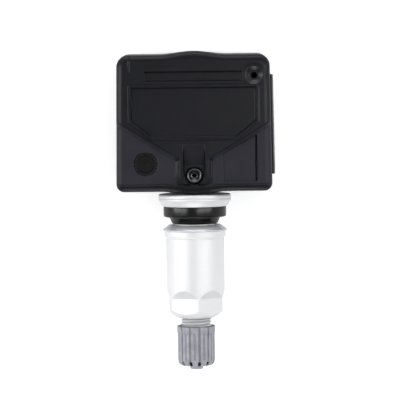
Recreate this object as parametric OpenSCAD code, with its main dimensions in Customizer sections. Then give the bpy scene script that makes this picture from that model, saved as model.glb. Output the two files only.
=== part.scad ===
// Clamp-in tyre pressure sensor, lying on its back.
// The origin is on the valve stem's axis, at the face of the collar that clamps against the wheel rim.
// +Z is the front face of the housing, and the stem points along -Y.

/* [Housing] */
// Width of the housing at its far end
housing_w = 37.8; // [37:0.1:40]
// How much wider the housing is at its stem end
housing_flare = 0.9; // [0:0.1:2]
// Length of the housing from its stem end to its far end
housing_l = 33.9; // [32:0.1:40]
// Height of the front face above the stem axis
front_h = 9.2; // [8.8:0.1:11]
// Height of the stem axis above the back face
back_h = 9.8; // [9.6:0.1:11]
// Thickness of the side walls
wall = 1.7; // [1.4:0.1:2]
// Thickness of the front wall
front_wall = 2.2; // [2:0.1:2.6]
// Rounding of the front edge
edge_r = 1.7; // [1:0.1:1.9]
// Radius of the corners at the far end
far_corner_r = 2.9; // [2.2:0.1:4]
// Radius of the corners at the stem end
stem_corner_r = 2; // [1.9:0.1:3]
// How much the side walls lean out towards the back
draft = 0.25; // [0:0.05:0.4]
// Half width of the swell in each end wall
swell_half_w = 8.7; // [7:0.1:10]
// Height of the swell in the far wall
far_swell = 0.9; // [0.5:0.1:1.5]
// How far the swell in the stem end wall reaches to the collar
stem_swell = 0.85; // [0.6:0.05:1.2]

/* [Front face] */
// Step down from the raised panel to the lower corners
panel_step = 0.9; // [0.6:0.1:1]
// Height at which the panel's edge meets the side walls, from the stem end wall
panel_side_y = 16.4; // [15:0.1:18]
// Half width of the panel where it meets the screw boss
panel_tip_w = 3.7; // [3.4:0.1:4.2]
// Height of that edge, from the stem end wall
panel_tip_y = 7.95; // [7.5:0.05:8.5]
// Depth of the label recess and of the long slot above it
recess_depth = 0.35; // [0.2:0.05:0.5]
// Half width of the label recess
label_half_w = 15.4; // [14:0.1:15.8]
// Half width of the label recess at its lower edge
label_low_w = 10.3; // [9:0.1:11]
// Lower edge of the label recess, from the stem end wall
label_low_y = 13.55; // [13:0.05:14.2]
// Height of the upright part of the label recess
label_side_h = 8.35; // [7.5:0.05:9]
// Height of the slanted part of the label recess
label_slant_h = 4.05; // [3.8:0.05:4.5]
// Width of the raised frame round the label recess
frame_w = 0.75; // [0.4:0.05:1]
// Height of the raised frame
frame_h = 0.12; // [0.05:0.01:0.2]
// Length of the long slot
slot_l = 24.1; // [20:0.1:26]
// Width of the long slot
slot_w = 2.3; // [1.5:0.1:2.6]
// Gap between the label recess and the long slot
slot_gap = 1.65; // [1.2:0.05:2]
// Diameter of the date dial
dial_d = 5.9; // [4:0.1:7]
// Distance of the date dial from the centre line
dial_x = 12; // [11:0.1:13]
// Distance of the date dial from the stem end wall
dial_y = 6.9; // [6:0.1:7.5]
// Inner edge of the corner pocket, from the centre line
pocket_in_x = 7.35; // [6.8:0.05:9]
// Outer edge of the corner pocket, from the centre line
pocket_out_x = 15.4; // [13:0.1:16]
// Lower edge of the corner pocket, from the stem end wall
pocket_low_y = 2.6; // [2.2:0.1:4]
// Depth of the corner pocket
pocket_depth = 0.5; // [0.2:0.05:0.6]
// Distance of the seam groove from the stem end wall
seam_y = 1.6; // [1.2:0.1:1.9]

/* [Pressure port] */
// Distance of the pressure port from the centre line
port_x = 15; // [14:0.1:15.2]
// Distance of the pressure port from the far wall
port_in = 5.25; // [5:0.05:6]
// Diameter of the pressure port
port_d = 1.55; // [1.2:0.05:2]
// Diameter of the dish round the port
port_dish_d = 4.4; // [3.5:0.1:5]
// Depth of the dish
port_dish_depth = 0.75; // [0.4:0.05:1]

/* [Stem screw] */
// Distance of the stem screw from the stem end wall
screw_y = 3.95; // [3.6:0.05:4.4]
// Diameter of the screw's thread
screw_d = 3; // [2.5:0.1:3.2]
// Diameter of the screw's head
screw_head_d = 3.9; // [3.6:0.1:4.2]
// Height of the screw's head
screw_head_h = 1.5; // [1.2:0.1:1.8]
// Diameter of the well round the screw's head
screw_well_d = 4.6; // [4.4:0.1:5]
// Depth of the screw's seat below the front face
screw_seat_depth = 3.9; // [3.4:0.1:4]
// Half width of the air channel above the screw
channel_half_w = 2.55; // [2.4:0.05:3]
// Depth of the air channel at the screw
channel_depth = 1.9; // [1.2:0.1:2.2]

/* [Valve stem] */
// Diameter of the collar
collar_d = 18.1; // [17:0.1:19]
// Thickness of the collar
collar_t = 3; // [2.6:0.1:4]
// Length of the bevel on the collar
collar_bevel = 1.4; // [1:0.1:2]
// Diameter of the collar's clamping face
collar_face_d = 16.3; // [16:0.1:17.5]
// Diameter of the tail inside the housing
tail_d = 7.9; // [7:0.1:8.4]
// Length of the tail inside the housing
tail_l = 8.9; // [8:0.1:9.4]
// Diameter of the clamping thread
shank_d = 10; // [9.5:0.1:10.4]
// Distance of the end of the clamping thread from the collar
shank_l = 20; // [18:0.1:20.4]
// Diameter of the valve thread
valve_thread_d = 7.7; // [7.6:0.05:7.8]
// Pitch of the valve thread
valve_pitch = 0.794; // [0.7:0.001:0.9]
// Distance of the stem's tip from the collar
stem_l = 37.6; // [37:0.1:38]
// Diameter of the bore for the valve core
core_bore_d = 5.3; // [5.1:0.05:5.4]
// Diameter of the chamber behind the valve core
chamber_d = 4; // [3.8:0.1:4.2]
// Diameter of the air passage through the tail
passage_d = 2.2; // [1.8:0.1:2.4]

/* [Grommet, washer and nut] */
// Diameter of the grommet's flange
grommet_d = 15.7; // [15.2:0.02:16.2]
// Thickness of the grommet's flange
grommet_flange_t = 2.7; // [2.2:0.1:2.9]
// Length of the whole grommet
grommet_l = 4.45; // [4.2:0.05:4.6]
// Diameter of the nose where it leaves the flange
nose_d = 12.7; // [12.4:0.02:13.4]
// Diameter of the nose at its tip
nose_tip_d = 11.9; // [11.6:0.1:12.2]
// Gap between the nose and the washer
washer_gap = 0.2; // [0.1:0.05:0.4]
// Diameter of the washer
washer_d = 16.1; // [15.6:0.02:16.6]
// Thickness of the washer
washer_t = 1.4; // [1:0.1:1.8]
// Diameter of the nut's flange
nut_flange_d = 15.3; // [15.1:0.05:15.8]
// Thickness of the nut's flange
nut_flange_t = 1.6; // [1.2:0.05:2]
// Diameter of the nut's sleeve
sleeve_d = 14.6; // [14.5:0.02:15]
// Length of the sleeve from the flange to the taper
sleeve_l = 15.15; // [14.6:0.05:15.4]
// Distance across the flats of the hexagon
hex_af = 12.8; // [12.75:0.05:13.2]
// Height of the hexagon
hex_h = 5.15; // [4.8:0.05:5.3]
// Length of the run-out that a cutter leaves over each flat
runout_l = 2; // [1.6:0.1:2.4]
// Angle that the nut stands turned to
nut_turn = 24.7; // [0:0.1:60]

/* [Valve cap] */
// Thickness of the cap's wall over its ribs
cap_wall = 0.67; // [0.6:0.01:0.8]
// How far the rim at the cap's mouth stands out
cap_rim_out = 0.15; // [0.05:0.01:0.4]
// Length of the rim
cap_rim_l = 1.8; // [1.4:0.1:2.2]
// Distance of the cap's mouth from the collar
cap_start = 30; // [29.8:0.1:30.4]
// Length of the cap without its nub
cap_l = 10; // [9.8:0.1:10.4]
// Length of the rounded end of the cap
cap_end_l = 1.9; // [1.6:0.1:2.2]
// Diameter of the nub on the cap's end
nub_d = 3.3; // [2.6:0.1:4]
// Height of the nub
nub_h = 1; // [0.5:0.1:1.2]
// Number of grooves round the cap
cap_grooves = 24; // [16:2:28]
// Turn of the cap's notches about the stem
cap_turn = 10; // [0:1:30]
// Thickness of the cap's end wall
cap_end_t = 1.2; // [1.1:0.1:1.4]

/* [Valve core] */
// Distance of the valve core's outer end from the stem's tip
core_inset = 1.1; // [0.9:0.1:1.4]
// Length of the core's threaded head
core_head_l = 4.6; // [4.2:0.1:4.8]
// Length of the whole core body
core_l = 13.6; // [13:0.1:14]
// Diameter of the core's barrel
core_barrel_d = 3.1; // [2.9:0.1:3.3]
// Diameter of the pin
pin_d = 1.1; // [0.9:0.05:1.2]
// Length that the pin stands out of the core body
pin_out = 0.6; // [0.4:0.1:0.8]
// Diameter of the spring's wire
spring_wire = 0.32; // [0.26:0.02:0.36]
// Number of turns of the spring
spring_turns = 6; // [4:1:8]

/* [Electronics] */
// Thickness of the circuit board
board_t = 1.2; // [1:0.1:1.6]
// Height of the board's front face above the stem axis
board_z = 2.6; // [2.4:0.1:3]
// Gap between the board's edge and the housing
board_gap = 0.6; // [0.4:0.1:1]
// Room round the battery, to the far wall and to the block that holds the stem
battery_room = 1.35; // [1:0.05:2.5]
// Thickness of the battery
battery_t = 5; // [3.2:0.1:5.4]
// Thickness of the battery's tabs
tab_t = 0.3; // [0.2:0.05:0.4]
// Side of the sensor chip
chip_side = 3; // [2.6:0.1:3.4]
// Height of the sensor chip
chip_h = 1.8; // [1.4:0.1:2]
// Length of the coil's core
coil_l = 11.5; // [10:0.1:12]
// Height of the antenna loop
loop_h = 7; // [5:0.1:8]

/* [Clearances] */
// Gap between parts that turn or slide on each other
running_gap = 0.05; // [0.03:0.01:0.08]
// Gap between parts that are fitted into each other
fit_gap = 0.1; // [0.05:0.01:0.15]

/* [Hidden] */
$fn = 96;
hull_fn = 32;
over = 0.5; // how far a cut runs past the surface it starts from

// Housing: y of the walls, z of the levels and the inner space
boss_face_y = collar_t + running_gap;
stem_wall_y = boss_face_y + stem_swell;
far_wall_y = stem_wall_y + housing_l;
stem_half_w = housing_w / 2 + housing_flare / 2;
far_half_w = housing_w / 2;
low_h = front_h - panel_step;
cover_t = 1.6;
cover_top_z = cover_t - back_h;
room_top_z = front_h - front_wall;
room_half_w = far_half_w - wall;
room_low_y = stem_wall_y + wall;
room_high_y = far_wall_y - wall;
room_corner_r = 1.5;

// Front face: places measured from the walls
label_low = stem_wall_y + label_low_y;
label_side = label_low + label_slant_h;
label_top = label_side + label_side_h;
slot_low = label_top + slot_gap;
panel_tip = stem_wall_y + panel_tip_y;
panel_side = stem_wall_y + panel_side_y;
panel_slope = (panel_side - panel_tip) / (stem_half_w - panel_tip_w);
screw_at = stem_wall_y + screw_y;
screw_seat_z = front_h - screw_seat_depth;
channel_top = label_low - frame_w - 0.9;
boss_steps = 3;
boss_step_r = 0.4;
port_y = far_wall_y - port_in;
seam = stem_wall_y + seam_y;
swell_steps = 16;
swell_sink = 0.06; // how far a swell starts behind the wall that it grows out of
groove_w = 0.3;
groove_depth = 0.22;
notch_x = 16;
notch_l = 2.6;

// Socket that takes the stem's tail
tail_end_y = collar_t + tail_l;
socket_r = tail_d / 2 + fit_gap;
socket_end_y = tail_end_y + 0.3;
boss_half_w = socket_r + 1.95;
boss_end_y = socket_end_y + 1.2;
boss_low_z = -socket_r - 2;
gallery_r = socket_r + 0.85;
gallery_l = 1.1;
vent_w = 2.3;
vent_x = -3.85;

// Stem: s is the distance from the clamping face towards the tip
neck_d = tail_d - 1.7;
neck_l = 1.1;
neck_hole_d = 0.7;
tail_flat_z = 3;
seat_s = stem_l - core_inset - core_head_l;
chamber_l = 12;
chamber_end_s = seat_s - chamber_l;
thread_start_s = shank_l + 2;
thread_depth = 0.43;
thread_count = floor((stem_l - thread_start_s - 1) / valve_pitch);

// Grommet, washer and nut
washer_s = grommet_l + washer_gap;
nut_s = washer_s + washer_t + running_gap;
sleeve_s = nut_s + nut_flange_t;
hex_s = sleeve_s + sleeve_l;
nut_end_s = hex_s + hex_h;
nut_bore_r = shank_d / 2 + running_gap;
nut_small_bore_r = valve_thread_d / 2 + 0.15;
nut_shoulder_s = shank_l + 1.3;

// Cap
cap_bore_r = valve_thread_d / 2 + fit_gap;
cap_r = cap_bore_r + cap_wall;
cap_end_s = cap_start + cap_l;
cap_floor_s = cap_end_s - cap_end_t;
seal_gap = 0.05;
groove_r = 0.28;
notch_h = 1.1;

// Valve core
core_s = stem_l - core_inset;
core_end_s = core_s - core_l;
core_head_r = core_bore_d / 2 - running_gap;
pin_hole_r = pin_d / 2 + 0.1;
spring_room_r = core_barrel_d / 2 - 0.3;
spring_shelf = 1.6;
spring_base_s = core_end_s + spring_shelf;
pin_collar_s = seat_s - 1.3;
pin_collar_t = 0.5;
cup_l = 1.3;
cup_r = core_barrel_d / 2;

// Electronics
board_half_w = room_half_w - board_gap;
board_low_y = room_low_y + board_gap;
board_high_y = room_high_y - board_gap;
board_back_z = board_z - board_t;
battery_back_gap = 1.8; // between the battery and the back cover
battery_d = room_high_y - boss_end_y - 2 * battery_room;
battery_x = battery_d / 2 + 2.15 - room_half_w;
battery_y = (boss_end_y + room_high_y) / 2;
battery_top_z = cover_top_z + battery_back_gap + battery_t;
coil_w = 3.5;
coil_h = 2.6;
coil_cheek = 1.6;
coil_y = board_high_y - 3.05 - coil_w / 2;
control_side = 7;
control_h = 1;
part_gap = 0.7; // between the chip and the coil
control_y = coil_y - coil_w / 2 - part_gap - control_side / 2;
post_r = 1.5;
pin_r = 0.6;
post_x = board_half_w - 1.8;
post_places = [
    [-post_x, board_low_y + 2], [post_x, board_low_y + 2],
    [-post_x, board_high_y - 2], [port_x - 6.4, board_high_y - 1.8]
];

// Corner of a rounded block: a puck with its rims rounded
function arc(x, z, r, from, to, steps = 8) =
    [for (i = [0:steps]) let (a = from + (to - from) * i / steps) [x + r * cos(a), z + r * sin(a)]];

module puck(r, z_low, z_high, top_edge, low_edge, lean) {
    rotate_extrude($fn = hull_fn)
        polygon(concat(
            [[0, z_low]],
            low_edge > 0 ? arc(r + lean - low_edge, z_low + low_edge, low_edge, -90, 0) : [[r + lean, z_low]],
            top_edge > 0 ? arc(r - top_edge, z_high - top_edge, top_edge, 0, 90) : [[r, z_high]],
            [[0, z_high]]
        ));
}

// Outer form of the housing between two heights
module block(z_low, z_high, top_edge = 0, low_edge = 0, lean = 0) {
    hull() {
        for (side = [-1, 1]) {
            translate([side * (far_half_w - far_corner_r), far_wall_y - far_corner_r, 0])
                puck(far_corner_r, z_low, z_high, top_edge, low_edge, lean);
            translate([side * (stem_half_w - stem_corner_r), stem_wall_y + stem_corner_r, 0])
                puck(stem_corner_r, z_low, z_high, top_edge, low_edge, lean);
        }
    }
}

// Section of the swell at one place along the wall, whose outer face is at y = 0
function swell_section(reach, top_z) = concat(
    [[-2 * edge_r, cover_top_z], [reach, cover_top_z]],
    arc(reach - edge_r, top_z - edge_r, edge_r, 0, 90),
    [[-2 * edge_r, top_z]]
);

// Low swell in an end wall: it grows out of the wall, and its ends lie a little behind the wall's face
module swell(rise, top_z) {
    sections = [for (i = [0:swell_steps])
        swell_section((rise + swell_sink) * (1 - cos(360 * i / swell_steps)) / 2 - swell_sink, top_z - swell_sink)];
    count = len(sections[0]);
    last = swell_steps * count;
    sides = [for (i = [0:swell_steps - 1], k = [0:count - 1], half = [0, 1])
        let (a = i * count + k, b = i * count + (k + 1) % count)
        half == 0 ? [a, a + count, b] : [b, a + count, b + count]];
    polyhedron(
        [for (i = [0:swell_steps], p = sections[i]) [swell_half_w * (2 * i / swell_steps - 1), p.x, p.y]],
        concat(sides, [[for (k = [0:count - 1]) k], [for (k = [count - 1:-1:0]) last + k]]),
        convexity = 4);
}

// Outline of the raised panel, down to its tip over the screw boss
module panel_outline() {
    polygon([
        [-panel_tip_w, panel_tip], [panel_tip_w, panel_tip],
        [stem_half_w + over, panel_side + over * panel_slope], [stem_half_w + over, far_wall_y + over],
        [-stem_half_w - over, far_wall_y + over], [-stem_half_w - over, panel_side + over * panel_slope]
    ]);
}

// Outline of the label recess, or of the frame round it
module label_outline(grow) {
    polygon([
        [-label_low_w - grow * 0.6, label_low - grow], [label_low_w + grow * 0.6, label_low - grow],
        [label_half_w + grow, label_side - grow * 0.6], [label_half_w + grow, label_top + grow],
        [-label_half_w - grow, label_top + grow], [-label_half_w - grow, label_side - grow * 0.6]
    ]);
}

// Rounded rectangle between two corners
module rounded_field(low, high, r) {
    size = high - low;
    translate([low.x + r, low.y])
        square([size.x - 2 * r, size.y]);
    translate([low.x, low.y + r])
        square([size.x, size.y - 2 * r]);
    for (x = [low.x + r, high.x - r], y = [low.y + r, high.y - r])
        translate([x, y])
            circle(r = r, $fn = hull_fn);
}

// Horseshoe round the screw, open towards the panel
module horseshoe(r) {
    intersection() {
        union() {
            translate([0, screw_at])
                circle(r = r);
            translate([-r, screw_at])
                square([2 * r, panel_tip - screw_at + 1]);
        }
        translate([-2 * r, seam + groove_w])
            square([4 * r, housing_l]);
    }
}

// Outer skin of the housing with the raised panel, the swells and the stepped screw boss
module housing_skin() {
    block(cover_top_z, low_h, edge_r, 0, draft);
    intersection() {
        block(cover_top_z, front_h, edge_r, 0, draft);
        linear_extrude(front_h + over)
            panel_outline();
    }
    translate([0, far_wall_y, 0])
        swell(far_swell, front_h);
    translate([0, stem_wall_y, 0])
        mirror([0, 1, 0])
            swell(stem_swell, low_h);
    for (i = [0:boss_steps - 1])
        translate([0, 0, low_h - over])
            linear_extrude(over + panel_step * (boss_steps - i) / boss_steps)
                horseshoe(panel_tip_w + i * boss_step_r);
    translate([0, 0, front_h - over])
        linear_extrude(over + frame_h)
            label_outline(frame_w);
    translate([port_x, port_y, front_h - over])
        cylinder(d = port_dish_d + 1.3, h = over + frame_h);
}

// Cut for the air channel: its floor falls towards the screw
module channel_cut() {
    translate([-channel_half_w, 0, 0])
        rotate([90, 0, 90])
            linear_extrude(2 * channel_half_w)
                polygon([
                    [screw_at, front_h - channel_depth], [screw_at + 2.6, front_h - channel_depth],
                    [channel_top - 1, front_h - recess_depth], [channel_top, front_h - recess_depth],
                    [channel_top, front_h + over], [screw_at, front_h + over]
                ]);
}

// Shallow forms cut into the front face
module face_cuts() {
    translate([0, 0, front_h - recess_depth])
        linear_extrude(recess_depth + over)
            label_outline(0);
    translate([0, 0, front_h - recess_depth])
        linear_extrude(recess_depth + over)
            rounded_field([-slot_l / 2, slot_low], [slot_l / 2, slot_low + slot_w], 0.3);
    channel_cut();
    translate([0, screw_at, screw_seat_z])
        cylinder(d = screw_well_d, h = screw_seat_depth + over);
    translate([-dial_x, stem_wall_y + dial_y, low_h])
        difference() {
            translate([0, 0, -0.3])
                cylinder(d = dial_d, h = 0.3 + over);
            translate([0, 0, -0.4])
                cylinder(d = 1.1, h = 0.3);
            difference() {
                translate([0, 0, -0.4])
                    cylinder(d = dial_d - 1.2, h = 0.2);
                translate([0, 0, -0.5])
                    cylinder(d = dial_d - 1.7, h = 0.5);
            }
        }
    pocket_top = panel_tip + (pocket_in_x - panel_tip_w) * panel_slope;
    pocket_far = panel_tip + (pocket_out_x - panel_tip_w) * panel_slope;
    translate([0, 0, low_h - pocket_depth])
        linear_extrude(pocket_depth + panel_step + over)
            intersection() {
                polygon([
                    [pocket_in_x, stem_wall_y + pocket_low_y], [pocket_out_x, stem_wall_y + pocket_low_y],
                    [pocket_out_x, pocket_far - 0.4], [pocket_in_x, pocket_top - 0.4]
                ]);
                translate([0, stem_wall_y])
                    square([stem_half_w, housing_l]);
            }
    translate([-stem_half_w, seam, low_h - groove_depth])
        cube([2 * stem_half_w, groove_w, panel_step]);
    translate([-notch_x, far_wall_y - edge_r - notch_l, front_h - groove_depth])
        cube([groove_w, notch_l + edge_r, groove_depth + over]);
    translate([port_x, port_y, front_h - port_dish_depth])
        cylinder(d1 = port_d + 0.8, d2 = port_dish_d, h = port_dish_depth + frame_h);
}

// Space for the electronics, open at the back
module room_cut() {
    translate([0, 0, cover_top_z - over])
        linear_extrude(room_top_z - cover_top_z + over)
            rounded_field([-room_half_w, room_low_y], [room_half_w, room_high_y], room_corner_r);
}

// Block inside the housing that holds the stem's tail
module socket_block() {
    translate([-boss_half_w, stem_wall_y, boss_low_z])
        cube([2 * boss_half_w, boss_end_y - stem_wall_y, room_top_z - boss_low_z + over]);
}

// Post with a pin that is melted over behind the board
module board_post() {
    translate([0, 0, board_z])
        cylinder(r = post_r, h = room_top_z - board_z + over);
    translate([0, 0, board_back_z - fit_gap - 0.5])
        cylinder(r = pin_r, h = board_t + fit_gap + 1);
    translate([0, 0, board_back_z - fit_gap - 0.6])
        cylinder(r1 = 0.7, r2 = 1.1, h = 0.6);
}

// Socket bore, screw hole, air gallery and the vent that leads out of it
module stem_holes() {
    rotate([-90, 0, 0]) {
        cylinder(r = socket_r, h = socket_end_y);
        cylinder(r = gallery_r, h = boss_face_y + gallery_l);
    }
    translate([0, screw_at, 0])
        cylinder(r = screw_d / 2 + fit_gap, h = screw_seat_z + over);
    translate([vent_x - vent_w / 2, boss_face_y - over, 0])
        cube([vent_w, over + 0.4, front_h]);
}

module housing() {
    color([0.15, 0.155, 0.175])
        difference() {
            union() {
                difference() {
                    housing_skin();
                    room_cut();
                }
                socket_block();
                for (place = post_places)
                    translate(place)
                        board_post();
            }
            face_cuts();
            stem_holes();
            translate([port_x, port_y, room_top_z - over])
                cylinder(d = port_d, h = front_wall + 2 * over);
        }
}

// Back cover with a rib that centres it in the housing and a rail along its right edge
rib_h = 1.2;
rib_t = 1;
rail_out = 0.8;
rail_low_y = stem_wall_y + 3.7;
rail_l = 25;
rail_h = 5.2;
rail_lean = atan(housing_flare / 2 / housing_l);

module back_cover() {
    color([0.13, 0.135, 0.15]) {
        block(-back_h, cover_top_z, 0, 1, draft);
        translate([0, 0, cover_top_z - over])
            linear_extrude(rib_h + over)
                difference() {
                    rounded_field(
                        [-room_half_w + fit_gap, room_low_y + fit_gap],
                        [room_half_w - fit_gap, room_high_y - fit_gap], room_corner_r);
                    rounded_field(
                        [-room_half_w + fit_gap + rib_t, room_low_y + fit_gap + rib_t],
                        [room_half_w - fit_gap - rib_t, room_high_y - fit_gap - rib_t], room_corner_r);
                }
        rail_x = stem_half_w + draft + fit_gap;
        translate([rail_x, stem_wall_y, 0])
            rotate([0, 0, rail_lean])
                translate([0, rail_low_y - stem_wall_y + rail_l, 0])
                    rotate([90, 0, 0])
                        linear_extrude(rail_l)
                            polygon([
                                [-0.9, cover_top_z - over], [rail_out - 0.1, cover_top_z - over],
                                [rail_out, cover_top_z - over + 0.15], [rail_out, cover_top_z + 0.4],
                                [0.35, cover_top_z + rail_h], [0, cover_top_z + rail_h],
                                [0, cover_top_z], [-0.9, cover_top_z]
                            ]);
    }
}

module circuit_board() {
    color([0.1, 0.35, 0.2])
        translate([0, 0, board_back_z])
            linear_extrude(board_t)
                difference() {
                    rounded_field([-board_half_w, board_low_y], [board_half_w, board_high_y], 1);
                    translate([-boss_half_w - fit_gap * 3, board_low_y - over])
                        square([2 * boss_half_w + fit_gap * 6, boss_end_y + fit_gap * 3 - board_low_y + over]);
                    for (place = post_places)
                        translate(place)
                            circle(r = pin_r + fit_gap, $fn = hull_fn);
                }
}

module sensor_chip() {
    color([0.2, 0.2, 0.22])
        difference() {
            translate([port_x - chip_side / 2, port_y - chip_side / 2, board_z])
                cube([chip_side, chip_side, chip_h]);
            translate([port_x, port_y, board_z + chip_h - 0.6])
                cylinder(d = port_d, h = 1);
        }
}

// Rubber tube that joins the chip's inlet to the port in the front wall
module port_gasket() {
    color([0.1, 0.1, 0.1])
        translate([port_x, port_y, board_z + chip_h])
            difference() {
                cylinder(d = chip_side - 0.2, h = room_top_z - board_z - chip_h);
                translate([0, 0, -over])
                    cylinder(d = port_d + 0.2, h = room_top_z - board_z);
            }
}

// Flat package with its corner mark
module control_chip() {
    mark = control_side / 2 - 0.8;
    color([0.18, 0.18, 0.2])
        translate([0, control_y, board_z])
            difference() {
                translate([-control_side / 2, -control_side / 2, 0])
                    cube([control_side, control_side, control_h]);
                translate([-mark, mark, control_h - 0.15])
                    cylinder(d = 0.7, h = control_h, $fn = hull_fn);
            }
}

// Half the length and width of the crystal's can
crystal_half = [2.5, 1.6];

module crystal() {
    color([0.75, 0.75, 0.76])
        translate([control_side / 2 + 3.5 + crystal_half.x, control_y, board_z]) {
            linear_extrude(0.5)
                rounded_field(-crystal_half, crystal_half, 0.3);
            translate([0, 0, 0.5])
                linear_extrude(0.6)
                    rounded_field(-crystal_half + [0.3, 0.3], crystal_half - [0.3, 0.3], 0.4);
        }
}

// Two rows of chip capacitors
capacitor = [0.8, 1.6, 0.8];
capacitor_pitch = [2.1, 2.4];

module capacitors() {
    color([0.72, 0.6, 0.42])
        for (i = [0:3], j = [0:1])
            translate([control_side + i * capacitor_pitch.x, control_y - 5.5 - j * capacitor_pitch.y, board_z])
                cube(capacitor);
}

// Ferrite bobbin of the wake-up coil: a web between two end cheeks
coil_web = 1.2;
coil_at = [-5.5, coil_y, board_z];

module coil_core() {
    color([0.25, 0.24, 0.24])
        translate(coil_at) {
            for (side = [0, 1])
                translate([side * (coil_l - coil_cheek) - coil_l / 2, -coil_w / 2, 0])
                    cube([coil_cheek, coil_w, coil_h]);
            translate([-coil_l / 2 + coil_cheek, -coil_w / 4, (coil_h - coil_web) / 2])
                cube([coil_l - 2 * coil_cheek, coil_w / 2, coil_web]);
        }
}

module coil_winding() {
    coil_half = [coil_w / 2 - 0.25, coil_h / 2 - 0.15];
    color([0.7, 0.4, 0.22])
        translate(coil_at + [-coil_l / 2 + coil_cheek + running_gap, 0, coil_h / 2])
            rotate([90, 0, 90])
                linear_extrude(coil_l - 2 * coil_cheek - 2 * running_gap)
                    difference() {
                        rounded_field(-coil_half, coil_half, 0.5);
                        square([coil_w / 2 + 2 * running_gap, coil_web + 2 * running_gap], center = true);
                    }
}

// Stamped strip that stands on the back of the board
loop_t = 0.4;
loop_w = 2.4;
loop_x = board_half_w - 3.2;
loop_low_y = boss_end_y + 1;
loop_l = 13;

module antenna_loop() {
    color([0.8, 0.78, 0.72])
        translate([loop_x - loop_w / 2, 0, 0])
            rotate([90, 0, 90])
                linear_extrude(loop_w)
                    difference() {
                        polygon([
                            [loop_low_y, board_back_z], [loop_low_y, board_back_z - loop_h + 1],
                            [loop_low_y + 1, board_back_z - loop_h],
                            [loop_low_y + loop_l - 1, board_back_z - loop_h],
                            [loop_low_y + loop_l, board_back_z - loop_h + 1],
                            [loop_low_y + loop_l, board_back_z]
                        ]);
                        polygon([
                            [loop_low_y + loop_t, board_back_z + over],
                            [loop_low_y + loop_t, board_back_z - loop_h + 1.2],
                            [loop_low_y + 1.2, board_back_z - loop_h + loop_t],
                            [loop_low_y + loop_l - 1.2, board_back_z - loop_h + loop_t],
                            [loop_low_y + loop_l - loop_t, board_back_z - loop_h + 1.2],
                            [loop_low_y + loop_l - loop_t, board_back_z + over]
                        ]);
                    }
}

// Button cell: a can crimped over a smaller lid that faces the board
module battery_cell() {
    lid_r = battery_d / 2 - 1.6;
    color([0.8, 0.8, 0.82])
        translate([battery_x, battery_y, battery_top_z - battery_t])
            rotate_extrude()
                polygon([
                    [0, 0], [battery_d / 2 - 0.5, 0], [battery_d / 2, 0.5],
                    [battery_d / 2, battery_t - 0.8], [battery_d / 2 - 0.5, battery_t - 0.3],
                    [lid_r, battery_t - 0.3], [lid_r - 0.3, battery_t], [0, battery_t]
                ]);
}

// Welded tabs: a pad on the cell, a bend and a leg up to the board
tab_w = 4;
tab_reach = 2;

module tab(pad_in, leg_x, pad_low_z) {
    dir = leg_x > pad_in ? 1 : -1;
    translate([0, battery_y + tab_w / 2, 0])
        rotate([90, 0, 0])
            linear_extrude(tab_w)
                polygon([
                    [pad_in, pad_low_z], [leg_x + dir * tab_t, pad_low_z],
                    [leg_x + dir * tab_t, board_back_z], [leg_x, board_back_z],
                    [leg_x, pad_low_z + tab_t], [pad_in, pad_low_z + tab_t]
                ]);
}

module battery_tab_positive() {
    color([0.78, 0.76, 0.7])
        tab(battery_x - tab_reach, battery_x - battery_d / 2 - 0.45, battery_top_z - battery_t - tab_t);
}

module battery_tab_negative() {
    color([0.78, 0.76, 0.7])
        tab(battery_x + tab_reach, battery_x + battery_d / 2 + 0.6, battery_top_z);
}

// Solid turned about the stem's axis from points [radius, distance from the clamping face]
module turned(points) {
    rotate([90, 0, 0])
        rotate_extrude()
            polygon(points);
}

// Aluminium stem: tail, collar, clamping thread and valve thread in one piece
module valve_stem() {
    color([0.88, 0.89, 0.9])
        difference() {
            turned(concat(
                [
                    [0, -collar_t - tail_l], [tail_d / 2 - 0.5, -collar_t - tail_l],
                    [tail_d / 2, -collar_t - tail_l + 0.5], [tail_d / 2, -collar_t - neck_l - 0.3],
                    [neck_d / 2, -collar_t - neck_l], [neck_d / 2, -collar_t],
                    [collar_d / 2 - 0.3, -collar_t], [collar_d / 2, -collar_t + 0.3],
                    [collar_d / 2, -collar_bevel], [collar_face_d / 2, 0], [shank_d / 2, 0],
                    [shank_d / 2, shank_l], [valve_thread_d / 2, shank_l + 0.9],
                    [valve_thread_d / 2, thread_start_s]
                ],
                [for (i = [0:thread_count - 1], k = [0, 1])
                    [valve_thread_d / 2 - k * thread_depth, thread_start_s + (i + 0.5 * k + 0.1) * valve_pitch]],
                [
                    [valve_thread_d / 2, thread_start_s + (thread_count + 0.1) * valve_pitch],
                    [valve_thread_d / 2, stem_l - 0.5], [valve_thread_d / 2 - 0.5, stem_l], [0, stem_l]
                ]
            ));
            turned([
                [0, stem_l + over], [core_bore_d / 2, stem_l + over], [core_bore_d / 2, seat_s],
                [chamber_d / 2, seat_s - 1.2], [chamber_d / 2, chamber_end_s],
                [passage_d / 2, chamber_end_s - 0.6], [passage_d / 2, -collar_t - neck_l],
                [0, -collar_t - neck_l]
            ]);
            translate([-neck_d, collar_t + neck_l / 2, 0])
                rotate([0, 90, 0])
                    cylinder(d = neck_hole_d, h = 2 * neck_d, $fn = hull_fn);
            translate([0, screw_at, screw_seat_z - screw_l - 0.4])
                cylinder(d = screw_d + 2 * running_gap, h = screw_l + tail_d);
            translate([-tail_d, collar_t + neck_l + 1, tail_flat_z])
                cube([2 * tail_d, tail_l, tail_d]);
        }
}

screw_l = 7;
screw_dish_depth = 0.65;

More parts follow.
